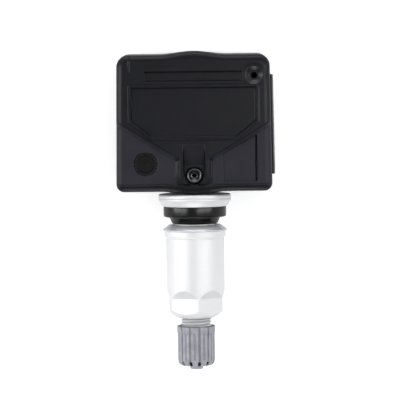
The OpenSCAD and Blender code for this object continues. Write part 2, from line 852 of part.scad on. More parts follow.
// Screw that ties the stem's tail to the housing, with a six-lobed socket
module stem_screw() {
    head_r = screw_head_d / 2;
    socket_z = screw_head_h - screw_dish_depth - 0.9;
    color([0.62, 0.63, 0.65])
        translate([0, screw_at, screw_seat_z])
            difference() {
                rotate_extrude($fn = 48)
                    polygon([
                        [0, -screw_l], [screw_d / 2 - 0.4, -screw_l], [screw_d / 2, -screw_l + 0.5],
                        [screw_d / 2, 0], [head_r, 0], [head_r, screw_head_h - 0.3],
                        [head_r - 0.15, screw_head_h - 0.05], [head_r - 0.3, screw_head_h],
                        [0.75, screw_head_h - screw_dish_depth], [0, screw_head_h - screw_dish_depth]
                    ]);
                translate([0, 0, socket_z]) {
                    cylinder(d = 1.05, h = 1 + over, $fn = 24);
                    for (a = [0:60:300])
                        rotate([0, 0, a])
                            translate([0.48, 0, 0])
                                cylinder(d = 0.36, h = 1 + over, $fn = 16);
                }
            }
}

// Rubber grommet: a flange against the collar and a nose that fills the rim's hole
module grommet() {
    bore_r = shank_d / 2 + running_gap;
    tip_r = nose_tip_d / 2;
    color([0.09, 0.09, 0.095])
        turned([
            [bore_r, 0], [grommet_d / 2 - 0.2, 0], [grommet_d / 2, 0.25],
            [grommet_d / 2, grommet_flange_t - 0.5], [grommet_d / 2 - 0.35, grommet_flange_t - 0.1],
            [nose_d / 2 + 0.2, grommet_flange_t], [nose_d / 2, grommet_flange_t + 0.2],
            [tip_r, grommet_l - 0.75], [tip_r - 0.3, grommet_l - 0.2], [tip_r - 0.75, grommet_l],
            [bore_r, grommet_l]
        ]);
}

module washer() {
    bore_r = shank_d / 2 + 0.3;
    color([0.82, 0.83, 0.85])
        turned([
            [bore_r, washer_s], [washer_d / 2 - 1.2, washer_s], [washer_d / 2, washer_s + 0.75],
            [washer_d / 2, washer_s + washer_t - 0.15], [washer_d / 2 - 0.15, washer_s + washer_t],
            [bore_r, washer_s + washer_t]
        ]);
}

// Outer form of the nut: flange, sleeve and an end turned to a dome
module nut_body() {
    sleeve_r = sleeve_d / 2;
    turned([
        [0, nut_s], [nut_flange_d / 2 - 0.15, nut_s], [nut_flange_d / 2, nut_s + 0.15],
        [nut_flange_d / 2, sleeve_s - 0.15], [nut_flange_d / 2 - 0.15, sleeve_s],
        [sleeve_r - 0.15, sleeve_s], [sleeve_r - 0.15, sleeve_s + 0.25],
        [sleeve_r, sleeve_s + 0.4], [sleeve_r, nut_end_s - 2],
        [sleeve_r - 0.75, nut_end_s - 1.35], [sleeve_r - 1.8, nut_end_s - 0.5],
        [valve_thread_d / 2 + 0.55, nut_end_s], [0, nut_end_s]
    ]);
}

// Cuts one flat, with a run-out that slopes up to the sleeve
module flat_cut() {
    flat_r = hex_af / 2;
    slope = runout_l / (sleeve_d / 2 - flat_r);
    reach = sleeve_d / 2 - flat_r + 1;
    rotate([90, 0, 0])
        linear_extrude(sleeve_d, center = true)
            polygon([
                [flat_r, hex_s], [flat_r, nut_end_s + over],
                [flat_r + reach, nut_end_s + over], [flat_r + reach, hex_s - reach * slope]
            ]);
}

module sleeve_nut() {
    color([0.9, 0.905, 0.92])
        difference() {
            nut_body();
            for (a = [30:60:330])
                rotate([90, 0, 0])
                    rotate([0, 0, nut_turn + a])
                        flat_cut();
            turned([
                [0, nut_s - over], [nut_bore_r + 0.5, nut_s - over], [nut_bore_r + 0.5, nut_s],
                [nut_bore_r, nut_s + 0.5], [nut_bore_r, nut_shoulder_s],
                [nut_small_bore_r, nut_shoulder_s + 0.8], [nut_small_bore_r, nut_end_s + over],
                [0, nut_end_s + over]
            ]);
        }
}

// Brass core body: a threaded head with a slotted bridge, and a barrel round the spring
module core_body() {
    bridge_w = 1.9;
    color([0.78, 0.62, 0.32])
        difference() {
            turned([
                [0, core_end_s], [core_barrel_d / 2 - 0.2, core_end_s], [core_barrel_d / 2, core_end_s + 0.2],
                [core_barrel_d / 2, seat_s], [core_head_r, seat_s], [core_head_r, core_s - 0.3],
                [core_head_r - 0.3, core_s], [0, core_s]
            ]);
            turned([
                [0, core_end_s - over], [pin_hole_r, core_end_s - over], [pin_hole_r, spring_base_s],
                [spring_room_r, spring_base_s], [spring_room_r, core_s - 1.2],
                [pin_hole_r, core_s - 1.2], [pin_hole_r, core_s + over], [0, core_s + over]
            ]);
            for (side = [0, 1])
                mirror([0, 0, side])
                    translate([-core_head_r, -core_s - over, bridge_w / 2])
                        cube([2 * core_head_r, over + 1.6, core_head_r]);
        }
}

// Soft ring that seals the core against the cone in the stem
module core_barrel_seal() {
    inner_r = core_barrel_d / 2 + running_gap;
    cone = (core_bore_d - chamber_d) / 2 / 1.2;
    color([0.75, 0.2, 0.15])
        turned([
            [inner_r, seat_s - 1.1], [chamber_d / 2 + 0.1 * cone - running_gap, seat_s - 1.1],
            [core_bore_d / 2 - 0.1 * cone - running_gap, seat_s - 0.1], [inner_r, seat_s - 0.1]
        ]);
}

module core_pin() {
    pin_r_end = pin_d / 2;
    color([0.8, 0.66, 0.36])
        turned([
            [0, core_end_s - cup_l - 0.3], [pin_r_end + 0.2, core_end_s - cup_l - 0.3],
            [pin_r_end + 0.2, core_end_s - cup_l], [pin_r_end, core_end_s - cup_l],
            [pin_r_end, pin_collar_s], [spring_room_r - 0.15, pin_collar_s],
            [spring_room_r - 0.15, pin_collar_s + pin_collar_t], [pin_r_end, pin_collar_s + pin_collar_t],
            [pin_r_end, core_s + pin_out - 0.15], [pin_r_end - 0.15, core_s + pin_out], [0, core_s + pin_out]
        ]);
}

// Rubber cup on the pin's inner end, which closes the core body
module core_cup_seal() {
    color([0.12, 0.12, 0.12])
        turned([
            [pin_d / 2, core_end_s - cup_l], [cup_r - 0.4, core_end_s - cup_l],
            [cup_r, core_end_s - 0.4], [cup_r, core_end_s - seal_gap],
            [pin_d / 2, core_end_s - seal_gap]
        ]);
}

// Coil spring between the core body's shelf and the collar on the pin
spring_r = (pin_d / 2 + spring_room_r) / 2;
spring_sides = 6;
spring_rings = 14;
spring_start = spring_base_s + spring_wire / 2;
spring_rise = pin_collar_s - spring_base_s - spring_wire;
spring_steps = spring_turns * spring_rings;
spring_points = [for (i = [0:spring_steps], k = [0:spring_sides - 1])
    let (
        turn = 360 * i / spring_rings,
        a = 360 * k / spring_sides,
        reach = spring_r + spring_wire / 2 * cos(a),
        s = spring_start + spring_rise * i / spring_steps + spring_wire / 2 * sin(a)
    )
    [reach * cos(turn), -s, reach * sin(turn)]];
spring_sides_faces = [for (i = [0:spring_steps - 1], k = [0:spring_sides - 1])
    let (here = i * spring_sides, next = (k + 1) % spring_sides)
    [here + k, here + next, here + spring_sides + next, here + spring_sides + k]];
spring_ends = [
    [for (k = [spring_sides - 1:-1:0]) k],
    [for (k = [0:spring_sides - 1]) spring_steps * spring_sides + k]
];

module core_spring() {
    color([0.7, 0.7, 0.72])
        polyhedron(spring_points, concat(spring_sides_faces, spring_ends), convexity = 8);
}

// Cross-section of the cap with shallow and deep grooves by turns
module cap_section(r) {
    difference() {
        circle(r = r);
        for (i = [0:cap_grooves - 1])
            rotate(i * 360 / cap_grooves)
                translate([r + groove_r * (i % 2 == 0 ? 0.1 : 0.5), 0])
                    circle(r = groove_r, $fn = 16);
    }
}

// Grey plastic cap: a scalloped rim, ribs that run into a rounded end with notches, and a nub
module valve_cap() {
    color([0.58, 0.59, 0.63])
        difference() {
            union() {
                intersection() {
                    rotate([90, 0, 0])
                        rotate([0, 0, -cap_turn])
                            translate([0, 0, cap_start + cap_rim_l - over])
                                linear_extrude(cap_l - cap_rim_l + 2 * over)
                                    cap_section(cap_r);
                    turned([
                        [0, cap_start], [cap_r + over, cap_start], [cap_r + over, cap_end_s - cap_end_l - 0.4],
                        [cap_r + 0.3, cap_end_s - cap_end_l], [cap_r - 0.35, cap_end_s - 0.5],
                        [cap_r - 0.9, cap_end_s], [0, cap_end_s]
                    ]);
                }
                rotate([90, 0, 0])
                    rotate([0, 0, -cap_turn])
                        translate([0, 0, cap_start])
                            linear_extrude(cap_rim_l)
                                cap_section(cap_r + cap_rim_out);
                turned([
                    [0, cap_end_s - over], [nub_d / 2, cap_end_s - over], [nub_d / 2, cap_end_s + nub_h - 0.3],
                    [nub_d / 2 - 0.3, cap_end_s + nub_h], [nub_d / 2 - 0.75, cap_end_s + nub_h],
                    [nub_d / 2 - 0.9, cap_end_s + nub_h - 0.35], [0, cap_end_s + nub_h - 0.35]
                ]);
            }
            turned([
                [0, cap_start - over], [cap_bore_r + 0.2, cap_start - over], [cap_bore_r + 0.2, cap_start + 0.01],
                [cap_bore_r, cap_start + 0.3], [cap_bore_r, cap_floor_s], [0, cap_floor_s]
            ]);
            for (i = [0:2:cap_grooves - 1])
                rotate([90, 0, 0])
                    rotate([0, 0, i * 360 / cap_grooves - cap_turn])
                        translate([cap_r - 0.65, -0.32, cap_end_s - notch_h])
                            cube([2, 0.64, notch_h + over]);
        }
}

module cap_seal() {
    color([0.12, 0.12, 0.13])
        turned([
            [0, stem_l + seal_gap], [cap_bore_r - fit_gap, stem_l + seal_gap],
            [cap_bore_r - fit_gap, cap_floor_s - seal_gap], [0, cap_floor_s - seal_gap]
        ]);
}

housing();
back_cover();
circuit_board();
sensor_chip();
port_gasket();
control_chip();
crystal();
capacitors();
coil_core();
coil_winding();
antenna_loop();
battery_cell();
battery_tab_positive();
battery_tab_negative();
valve_stem();
stem_screw();
grommet();
washer();
sleeve_nut();
core_body();
core_barrel_seal();
core_pin();
core_cup_seal();
core_spring();
valve_cap();
cap_seal();
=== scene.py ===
# Clamp-in tyre pressure sensor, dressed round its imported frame.
# Lengths are in millimetres; MM turns them into metres.
import math

import bpy
import numpy as np
from mathutils import Matrix, Vector


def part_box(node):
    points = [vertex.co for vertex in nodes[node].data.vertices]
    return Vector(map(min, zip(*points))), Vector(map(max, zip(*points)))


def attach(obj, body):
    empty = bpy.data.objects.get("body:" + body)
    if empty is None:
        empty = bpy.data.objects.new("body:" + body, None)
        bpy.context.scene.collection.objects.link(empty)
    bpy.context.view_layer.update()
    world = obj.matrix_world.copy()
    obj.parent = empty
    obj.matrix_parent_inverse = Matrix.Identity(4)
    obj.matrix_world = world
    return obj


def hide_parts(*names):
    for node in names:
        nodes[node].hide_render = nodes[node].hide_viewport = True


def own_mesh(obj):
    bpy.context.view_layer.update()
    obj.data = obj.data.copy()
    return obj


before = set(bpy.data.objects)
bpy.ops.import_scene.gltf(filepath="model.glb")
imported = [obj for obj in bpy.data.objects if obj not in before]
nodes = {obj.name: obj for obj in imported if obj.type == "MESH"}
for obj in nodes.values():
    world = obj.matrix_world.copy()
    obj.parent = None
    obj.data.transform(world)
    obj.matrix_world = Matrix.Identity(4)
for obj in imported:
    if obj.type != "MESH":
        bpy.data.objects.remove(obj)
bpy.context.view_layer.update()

MM = 0.001


def box_mm(name):
    low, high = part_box(name)
    return Vector(low) / MM, Vector(high) / MM


# Materials: a small kit for node trees, all of it in object space so that grain keeps its scale

def new_material(name):
    material = bpy.data.materials.new(name)
    material.use_nodes = True
    tree = material.node_tree
    shader = tree.nodes["Principled BSDF"]
    return material, tree, shader


def add(tree, kind, **settings):
    node = tree.nodes.new(kind)
    for key, value in settings.items():
        if hasattr(node, key):
            setattr(node, key, value)
        else:
            node.inputs[key.replace("_", " ")].default_value = value
    return node


def object_place(tree, scale=(1, 1, 1)):
    """Object coordinates in millimetres, stretched by scale."""
    coordinates = add(tree, "ShaderNodeTexCoord")
    mapping = add(tree, "ShaderNodeMapping")
    mapping.inputs["Scale"].default_value = [s / MM for s in scale]
    tree.links.new(coordinates.outputs["Object"], mapping.inputs["Vector"])
    return mapping.outputs["Vector"]


def noise(tree, place, scale, detail=3.0, roughness=0.55):
    node = add(tree, "ShaderNodeTexNoise", Scale=scale, Detail=detail, Roughness=roughness)
    tree.links.new(place, node.inputs["Vector"])
    return node.outputs["Fac"]


def remap(tree, value, low, high, from_low=0.3, from_high=0.7, **settings):
    node = add(tree, "ShaderNodeMapRange", **settings)
    node.inputs["From Min"].default_value = from_low
    node.inputs["From Max"].default_value = from_high
    node.inputs["To Min"].default_value = low
    node.inputs["To Max"].default_value = high
    tree.links.new(value, node.inputs["Value"])
    return node.outputs["Result"]


def two_tone(tree, value, dark, light, low=0.35, high=0.65):
    ramp = add(tree, "ShaderNodeValToRGB")
    ramp.color_ramp.elements[0].position = low
    ramp.color_ramp.elements[1].position = high
    ramp.color_ramp.elements[0].color = (*dark, 1)
    ramp.color_ramp.elements[1].color = (*light, 1)
    tree.links.new(value, ramp.inputs["Fac"])
    return ramp.outputs["Color"]


def add_bump(tree, shader, height, depth_mm, strength=1.0, under=None):
    node = add(tree, "ShaderNodeBump")
    node.inputs["Strength"].default_value = strength
    node.inputs["Distance"].default_value = depth_mm * MM
    tree.links.new(height, node.inputs["Height"])
    if under is not None:
        tree.links.new(under, node.inputs["Normal"])
    tree.links.new(node.outputs["Normal"], shader.inputs["Normal"])
    return node.outputs["Normal"]


def rounded_edges(tree, radius_mm):
    node = add(tree, "ShaderNodeBevel", samples=6)
    node.inputs["Radius"].default_value = radius_mm * MM
    return node.outputs["Normal"]


def moulded_plastic(name, dark, light, rough=(0.42, 0.55), grain_mm=0.12, edge=0.12, specular=0.2):
    """Spark-eroded plastic: fine grain, soft patches where it flowed, and softened edges."""
    material, tree, shader = new_material(name)
    place = object_place(tree)
    patches = noise(tree, place, 0.12, 4)
    grain = noise(tree, place, 1 / grain_mm, 2)
    tree.links.new(two_tone(tree, patches, dark, light), shader.inputs["Base Color"])
    tree.links.new(remap(tree, patches, *rough), shader.inputs["Roughness"])
    shader.inputs["Specular IOR Level"].default_value = specular
    add_bump(tree, shader, grain, 0.006, 0.6, rounded_edges(tree, edge))
    return material


def turned_metal(name, dark, light, rough=(0.44, 0.54), lines_per_mm=7, depth=0.0012, edge=0.1,
                 axis=1, metallic=0.5):
    """Metal with fine lines across an axis, as a lathe leaves them, and satin where metallic is under 1."""
    material, tree, shader = new_material(name)
    stretch = [0.04, 0.04, 0.04]
    stretch[axis] = 1.0
    rings = noise(tree, object_place(tree, stretch), lines_per_mm, 2, 0.7)
    patches = noise(tree, object_place(tree), 0.35, 3)
    tree.links.new(two_tone(tree, rings, dark, light, 0.3, 0.7), shader.inputs["Base Color"])
    tree.links.new(remap(tree, patches, *rough), shader.inputs["Roughness"])
    shader.inputs["Metallic"].default_value = metallic
    add_bump(tree, shader, rings, depth, 0.8, rounded_edges(tree, edge))
    return material


def axis_distance(tree, place):
    """Distance from the stem's axis, and place along it, in millimetres."""
    flat = add(tree, "ShaderNodeVectorMath", operation="MULTIPLY")
    flat.inputs[1].default_value = (1, 0, 1)
    tree.links.new(place, flat.inputs[0])
    radius = add(tree, "ShaderNodeVectorMath", operation="LENGTH")
    tree.links.new(flat.outputs["Vector"], radius.inputs[0])
    along = add(tree, "ShaderNodeSeparateXYZ")
    tree.links.new(place, along.inputs["Vector"])
    return radius.outputs["Value"], along.outputs["Y"]


def combine(tree, operation, a, b):
    """A maths node between two sockets."""
    node = add(tree, "ShaderNodeMath", operation=operation)
    tree.links.new(a, node.inputs[0])
    tree.links.new(b, node.inputs[1])
    return node.outputs[0]


def apply_painted_light_and_shade(tree, shader, shade):
    """Multiplies the colour that the shader already has by a factor of painted shade and light."""
    link = shader.inputs["Base Color"].links[0]
    tint = add(tree, "ShaderNodeVectorMath", operation="SCALE")
    tree.links.new(link.from_socket, tint.inputs[0])
    tree.links.new(shade, tint.inputs["Scale"])
    tree.links.new(tint.outputs["Vector"], shader.inputs["Base Color"])


# Painted shade for the cap's grooves, notches and mouth, and painted light on its nub
CAP_NARROWS, NOTCH_PAINTED_SHADE, GROOVE_PAINTED_SHADE, NUB_PAINTED_LIGHT, MOUTH_PAINTED_SHADE = 0.95, 0.06, 0.74, 1.25, 0.25
# Painted shade in the roots of the stem's thread
ROOT_PAINTED_SHADE = 0.55


def ribbed_plastic(name, dark, light, groove_mm, crest_mm, mouth_mm, round_mm, end_mm):
    """The cap's plastic, with painted shade in its grooves and notches and on its mouth, and painted light on
    its nub.

    How deep a place lies is told by its distance from the axis, made up for where the end is rounded,
    from round_mm to end_mm along the stem.
    """
    material, tree, shader = new_material(name)
    place = object_place(tree)
    patches = noise(tree, place, 0.5, 4)
    tree.links.new(two_tone(tree, patches, dark, light), shader.inputs["Base Color"])
    tree.links.new(remap(tree, patches, 0.3, 0.42), shader.inputs["Roughness"])
    add_bump(tree, shader, noise(tree, place, 10, 2), 0.006, 0.6, rounded_edges(tree, 0.05))
    radius, y = axis_distance(tree, place)
    reach = combine(tree, "ADD", radius, remap(tree, y, CAP_NARROWS, 0.0, -end_mm, -round_mm))
    height = remap(tree, reach, 0.0, 1.0, groove_mm, crest_mm)
    # Painted shade: grooves darker than the crests, and the notches darker still
    least_painted_shade = remap(tree, y, NOTCH_PAINTED_SHADE, GROOVE_PAINTED_SHADE, -round_mm - 0.6, -round_mm)
    groove_painted_shade = combine(tree, "MAXIMUM", height, least_painted_shade)
    # Painted light on the nub past the cap's end
    body = combine(tree, "MAXIMUM", groove_painted_shade, remap(tree, y, NUB_PAINTED_LIGHT, 0.0, -end_mm - 0.05, -end_mm))
    # Painted shade on the cap's mouth
    mouth_painted_shade = remap(tree, y, 1.0, MOUTH_PAINTED_SHADE, -mouth_mm - 0.3, -mouth_mm - 0.05)
    apply_painted_light_and_shade(tree, shader, combine(tree, "MINIMUM", body, mouth_painted_shade))
    return material


def threaded_metal(name, dark, light, root_mm, crest_mm, end_mm, **settings):
    """Turned metal, with painted shade in the roots of its thread, up to an end along the stem."""
    material = turned_metal(name, dark, light, **settings)
    tree = material.node_tree
    radius, y = axis_distance(tree, object_place(tree))
    # Painted shade in the thread's roots
    root_painted_shade = remap(tree, radius, ROOT_PAINTED_SHADE, 1.0, root_mm, crest_mm)
    past_end = remap(tree, y, 1.0, 0.0, -end_mm - 0.05, -end_mm)
    apply_painted_light_and_shade(tree, tree.nodes["Principled BSDF"], combine(tree, "MAXIMUM", root_painted_shade, past_end))
    return material


def rubber(name, dark, light):
    material, tree, shader = new_material(name)
    place = object_place(tree)
    bloom = noise(tree, place, 0.5, 5, 0.6)
    tree.links.new(two_tone(tree, bloom, dark, light), shader.inputs["Base Color"])
    tree.links.new(remap(tree, bloom, 0.2, 0.27), shader.inputs["Roughness"])
    shader.inputs["Specular IOR Level"].default_value = 0.4
    add_bump(tree, shader, noise(tree, place, 6, 2), 0.004, 0.5, rounded_edges(tree, 0.15))
    return material


housing_black = moulded_plastic(
    "housing_black", (0.0040, 0.0043, 0.0078), (0.0055, 0.0058, 0.0100), (0.34, 0.42), 0.12, 0.06, 0.28)
cover_black = moulded_plastic(
    "cover_black", (0.004, 0.004, 0.005), (0.006, 0.006, 0.0075), (0.35, 0.45), 0.12, 0.1, 0.35)
cap_grey = ribbed_plastic(
    "cap_grey", (0.38, 0.385, 0.44), (0.49, 0.495, 0.55), 4.4, 4.62, 30.0, 38.3, 39.93)
stem_metal = threaded_metal(
    "stem_metal", (0.92, 0.925, 0.94), (0.97, 0.973, 0.985), 3.5, 3.8, 37.1, metallic=0.38)
nut_metal = turned_metal("nut_metal", (0.96, 0.965, 0.985), (0.99, 0.993, 1.0), metallic=0.34)
washer_metal = turned_metal(
    "washer_metal", (0.82, 0.83, 0.88), (0.90, 0.91, 0.96), (0.3, 0.4), metallic=0.6)
screw_metal = turned_metal(
    "screw_metal", (0.45, 0.46, 0.48), (0.6, 0.61, 0.63), (0.2, 0.35), 9, axis=2, metallic=1)
dark_steel = turned_metal(
    "dark_steel", (0.11, 0.112, 0.122), (0.19, 0.192, 0.205), (0.24, 0.36), 9, axis=2, metallic=1)
brass = turned_metal("brass", (0.62, 0.44, 0.16), (0.74, 0.55, 0.24), (0.24, 0.34), metallic=1)
grommet_black = rubber("grommet_black", (0.002, 0.002, 0.0024), (0.004, 0.004, 0.0047))
seal_black = rubber("seal_black", (0.012, 0.012, 0.012), (0.022, 0.022, 0.022))
seal_red = rubber("seal_red", (0.35, 0.05, 0.03), (0.45, 0.08, 0.05))
cell_metal = turned_metal(
    "cell_metal", (0.55, 0.55, 0.56), (0.7, 0.7, 0.71), (0.2, 0.32), 5, axis=2, metallic=1)
strip_metal = turned_metal(
    "strip_metal", (0.6, 0.58, 0.5), (0.75, 0.72, 0.64), (0.22, 0.36), 6, axis=0, metallic=1)
chip_black = moulded_plastic(
    "chip_black", (0.012, 0.012, 0.013), (0.02, 0.02, 0.021), (0.5, 0.65), 0.06, 0.04)
ferrite = moulded_plastic("ferrite", (0.03, 0.028, 0.028), (0.05, 0.047, 0.046), (0.5, 0.7), 0.05, 0.05)
ceramic = moulded_plastic("ceramic", (0.42, 0.29, 0.15), (0.5, 0.36, 0.2), (0.3, 0.45), 0.08, 0.04)
board_green = moulded_plastic(
    "board_green", (0.01, 0.09, 0.03), (0.02, 0.14, 0.05), (0.25, 0.35), 0.3, 0.05)
copper = turned_metal(
    "copper", (0.5, 0.2, 0.08), (0.72, 0.34, 0.16), (0.25, 0.4), 4, 0.03, 0.05, axis=0, metallic=1)

housing_corner = moulded_plastic(
    "housing_corner", (0.0125, 0.0127, 0.0205), (0.0185, 0.0187, 0.0290), (0.45, 0.55), 0.16, 0.06, 0.35)
dial_black = moulded_plastic(
    "dial_black", (0.003, 0.003, 0.0035), (0.005, 0.005, 0.006), (0.5, 0.65), 0.2, 0.04, 0.2)
dish_black = moulded_plastic(
    "dish_black", (0.008, 0.0085, 0.0115), (0.013, 0.0135, 0.017), (0.34, 0.44), 0.12, 0.05, 0.6)
channel_black = moulded_plastic(
    "channel_black", (0.0085, 0.0087, 0.0148), (0.0120, 0.0122, 0.0195), (0.38, 0.48), 0.14, 0.06, 0.3)
# Near-black plastic for the screw's socket: painted shade in the hole
socket_painted_shade = moulded_plastic(
    "socket_painted_shade", (0.002, 0.002, 0.002), (0.006, 0.006, 0.006), (0.6, 0.8), 0.1, 0.04, 0.1)

# Looks of the frame's own meshes, those that no piece below replaces
LOOKS = {
    "back_cover": cover_black, "circuit_board": board_green, "sensor_chip": chip_black,
    "port_gasket": seal_black, "control_chip": chip_black, "crystal": strip_metal, "capacitors": ceramic,
    "coil_core": ferrite, "coil_winding": copper, "antenna_loop": strip_metal, "battery_cell": cell_metal,
    "battery_tab_positive": strip_metal, "battery_tab_negative": strip_metal, "sleeve_nut": nut_metal,
    "core_body": brass, "core_barrel_seal": seal_red, "core_pin": brass, "core_cup_seal": seal_black,
    "cap_seal": seal_black,
}
for name, look in LOOKS.items():
    for slot in nodes[name].material_slots:
        slot.material = look


# Housing: one moulded shell whose front face is a height map with a fillet on every step

WALL_STEM, WALL_FAR = 3.9, 37.8
HALF_W_STEM, HALF_W_FAR = 19.35, 18.9
FRONT_Z, LOW_Z, COVER_Z, CEILING_Z = 9.2, 8.3, -8.2, 7.0
WALL_T, DRAFT = 1.7, 0.25
EDGE_R, CORNER_STEM, CORNER_FAR = 1.7, 2.0, 2.9
SWELL_HALF_W, SWELL_STEM, SWELL_FAR = 8.7, 0.85, 0.9
TIP_X, TIP_Y, SIDE_Y = 3.7, 11.5, 21.0
PANEL_SLOPE = (SIDE_Y - TIP_Y) / (HALF_W_STEM - TIP_X)
SCREW_Y, SCREW_SEAT_Z, WELL_R, SCREW_R = 7.85, 5.3, 2.3, 1.6
PORT = (15.0, 32.55)
PORT_R, DISH_R, DISH_DEPTH, DISH_FLOOR_R, DISH_RING = 0.775, 2.2, 0.75, 1.175, 0.65
LABEL = [(-10.3, 17.45), (10.3, 17.45), (15.4, 21.5), (15.4, 29.7), (-15.4, 29.7), (-15.4, 21.5)]
FRAME_W, FRAME_H, RING_H, RECESS = 0.75, 0.1, 0.12, 0.35
SLOT_MIN, SLOT_MAX, SLOT_DEPTH = (-12.05, 31.15), (12.05, 33.6), 0.45
CHANNEL_HALF_W, CHANNEL_TOP, CHANNEL_Z = 2.55, 15.8, 7.3
RAMP_START, RAMP_END = 10.45, 14.8
DIAL, DIAL_R, DIAL_DEPTH, DIAL_TICKS, TICK_IN, TICK_L = (-12.0, 10.8), 2.95, 0.3, 24, 0.4, 0.45
POCKET = [(7.35, 6.5), (15.4, 6.5), (15.4, 17.73), (7.35, 13.41)]
POCKET_DEPTH, POCKET_GROOVE = 0.5, 0.34
LINE_W, LINE_DEPTH = 0.14, 0.07
SOFT, CRISP, PANEL_STEP_W, SWELL_BLEND = 0.3, 0.16, 1.3, 3.0
TERRACES, TERRACE_W, TERRACE_SOFT = 3, 0.4, 0.24
DIAL_RING_IN, DIAL_RING_W, HUB_R, DIAL_RELIEF, TICK_RELIEF = 0.75, 0.14, 0.55, 0.15, 0.2
SEAM_Y, SEAM_W, SEAM_DEPTH = 5.5, 0.3, 0.22
NOTCH_X, NOTCH_Y, NOTCH_W = -15.85, 33.5, 0.3
BOSS_HALF_W, BOSS_END_Y, BOSS_LOW_Z = 6.0, 13.4, -6.05
TAIL_R, GALLERY_R, GALLERY_END_Y, SOCKET_END_Y = 4.05, 4.9, 4.15, 12.2
VENT_X, VENT_W, VENT_LOW_Y, VENT_HIGH_Y = -3.85, 2.3, 2.4, 3.45


def smooth_step(value, width):
    """0 below -width / 2 and 1 above width / 2, with rounded shoulders."""
    t = np.clip(value / width + 0.5, 0, 1)
    return t * t * (3 - 2 * t)


def polygon_distance(x, y, corners):
    """Distance outside a convex polygon listed counter-clockwise, and negative inside it."""
    distance = np.full_like(x, -1e3)
    for (ax, ay), (bx, by) in zip(corners, corners[1:] + corners[:1]):
        length = math.hypot(bx - ax, by - ay)
        distance = np.maximum(distance, ((x - ax) * (by - ay) - (y - ay) * (bx - ax)) / length)
    return distance


def panel_distance(x, y):
    """How far inside the raised panel a place is."""
    slanted = (y - TIP_Y - (np.abs(x) - TIP_X) * PANEL_SLOPE) / math.hypot(1, PANEL_SLOPE)
    return np.minimum(slanted, y - TIP_Y)


def hairline(distance):
    """Depth of the fine line that runs just inside an outline."""
    return LINE_DEPTH * smooth_step(LINE_W / 2 - np.abs(distance + LINE_W), 0.12)


def box_distance(x, y, low, high):
    """Distance outside an upright rectangle, and negative inside it."""
    return np.maximum(np.maximum(low[0] - x, x - high[0]), np.maximum(low[1] - y, y - high[1]))


def face_heights(x, y):
    """Height of the front face before its outer edge is rounded."""
    across = np.abs(x)
    step = FRONT_Z - LOW_Z
    z = LOW_Z + step * smooth_step(panel_distance(x, y), PANEL_STEP_W)
    shoe_distance = np.where(y > SCREW_Y, across, np.hypot(x, y - SCREW_Y))
    for i in range(TERRACES):
        inside = TIP_X + TERRACE_W * i - shoe_distance
        inside = np.minimum(inside, np.minimum(y - SEAM_Y - SEAM_W, TIP_Y + 1 - y))
        z = np.maximum(z, LOW_Z + step * (TERRACES - i) / TERRACES * smooth_step(inside, TERRACE_SOFT))
    label = polygon_distance(x, y, LABEL)
    from_port = np.hypot(x - PORT[0], y - PORT[1])
    on_frame = FRAME_H * smooth_step(FRAME_W - label, SOFT)
    z = z + np.maximum(on_frame, RING_H * smooth_step(DISH_R + DISH_RING - from_port, SOFT))
    z = z - (RECESS + FRAME_H) * smooth_step(-label, CRISP) - hairline(label)
    slot = box_distance(x, y, SLOT_MIN, SLOT_MAX)
    z = z - SLOT_DEPTH * smooth_step(-slot, CRISP) - hairline(slot)
    floor_z = [CHANNEL_Z, FRONT_Z - RECESS, FRONT_Z - RECESS / 2]
    floor = np.interp(y, [RAMP_START, RAMP_END, CHANNEL_TOP], floor_z)
    channel = np.maximum(across - CHANNEL_HALF_W, np.maximum(SCREW_Y - y, y - CHANNEL_TOP))
    z = z + (np.minimum(z, floor) - z) * smooth_step(-channel, SOFT)
    z = z - POCKET_DEPTH * smooth_step(-polygon_distance(x, y, POCKET), SOFT)
    return z - small_forms(x, y)


def small_forms(x, y):
    """Depth of the dial, the grooves and the dish round the port."""
    from_dial = np.hypot(x - DIAL[0], y - DIAL[1])
    angle = np.arctan2(y - DIAL[1], x - DIAL[0])
    depth = DIAL_DEPTH * smooth_step(DIAL_R - from_dial, 0.25)
    ring = smooth_step(DIAL_RING_W - np.abs(from_dial - DIAL_R + DIAL_RING_IN), DIAL_RING_W)
    hub = smooth_step(HUB_R - from_dial, 0.15)
    near_rim = smooth_step(from_dial - DIAL_R + 0.62, 0.1) * smooth_step(DIAL_R - 0.1 - from_dial, 0.1)
    ticks = smooth_step(np.cos(DIAL_TICKS * angle) - 0.75, 0.3) * near_rim
    depth = depth + DIAL_RELIEF * ring + DIAL_RELIEF * hub - TICK_RELIEF * ticks
    seam = SEAM_W / 2 - np.abs(y - SEAM_Y - SEAM_W / 2)
    depth = depth + SEAM_DEPTH * smooth_step(seam, 0.2)
    notch = np.minimum(NOTCH_W / 2 - np.abs(x - NOTCH_X), y - NOTCH_Y)
    depth = depth + SEAM_DEPTH * smooth_step(notch, 0.2)
    beside_pocket = POCKET_GROOVE / 2 - np.abs(x - POCKET[1][0])
    beside_pocket = np.minimum(beside_pocket, np.minimum(y - POCKET[1][1], POCKET[2][1] - y))
    depth = depth + POCKET_DEPTH * smooth_step(beside_pocket, 0.15)
    from_port = np.hypot(x - PORT[0], y - PORT[1])
    dish = np.clip((DISH_R - from_port) / (DISH_R - DISH_FLOOR_R), 0, 1)
    return depth + (DISH_DEPTH + RING_H) * dish


def half_width(y):
    return np.interp(y, [WALL_STEM, WALL_FAR], [HALF_W_STEM, HALF_W_FAR])


def swell_shape(x):
    return np.where(np.abs(x) < SWELL_HALF_W, (1 + np.cos(np.pi * x / SWELL_HALF_W)) / 2, 0)


def arc_steps(radius, count):
    return radius * (1 - np.cos(np.linspace(0, np.pi / 2, count)))


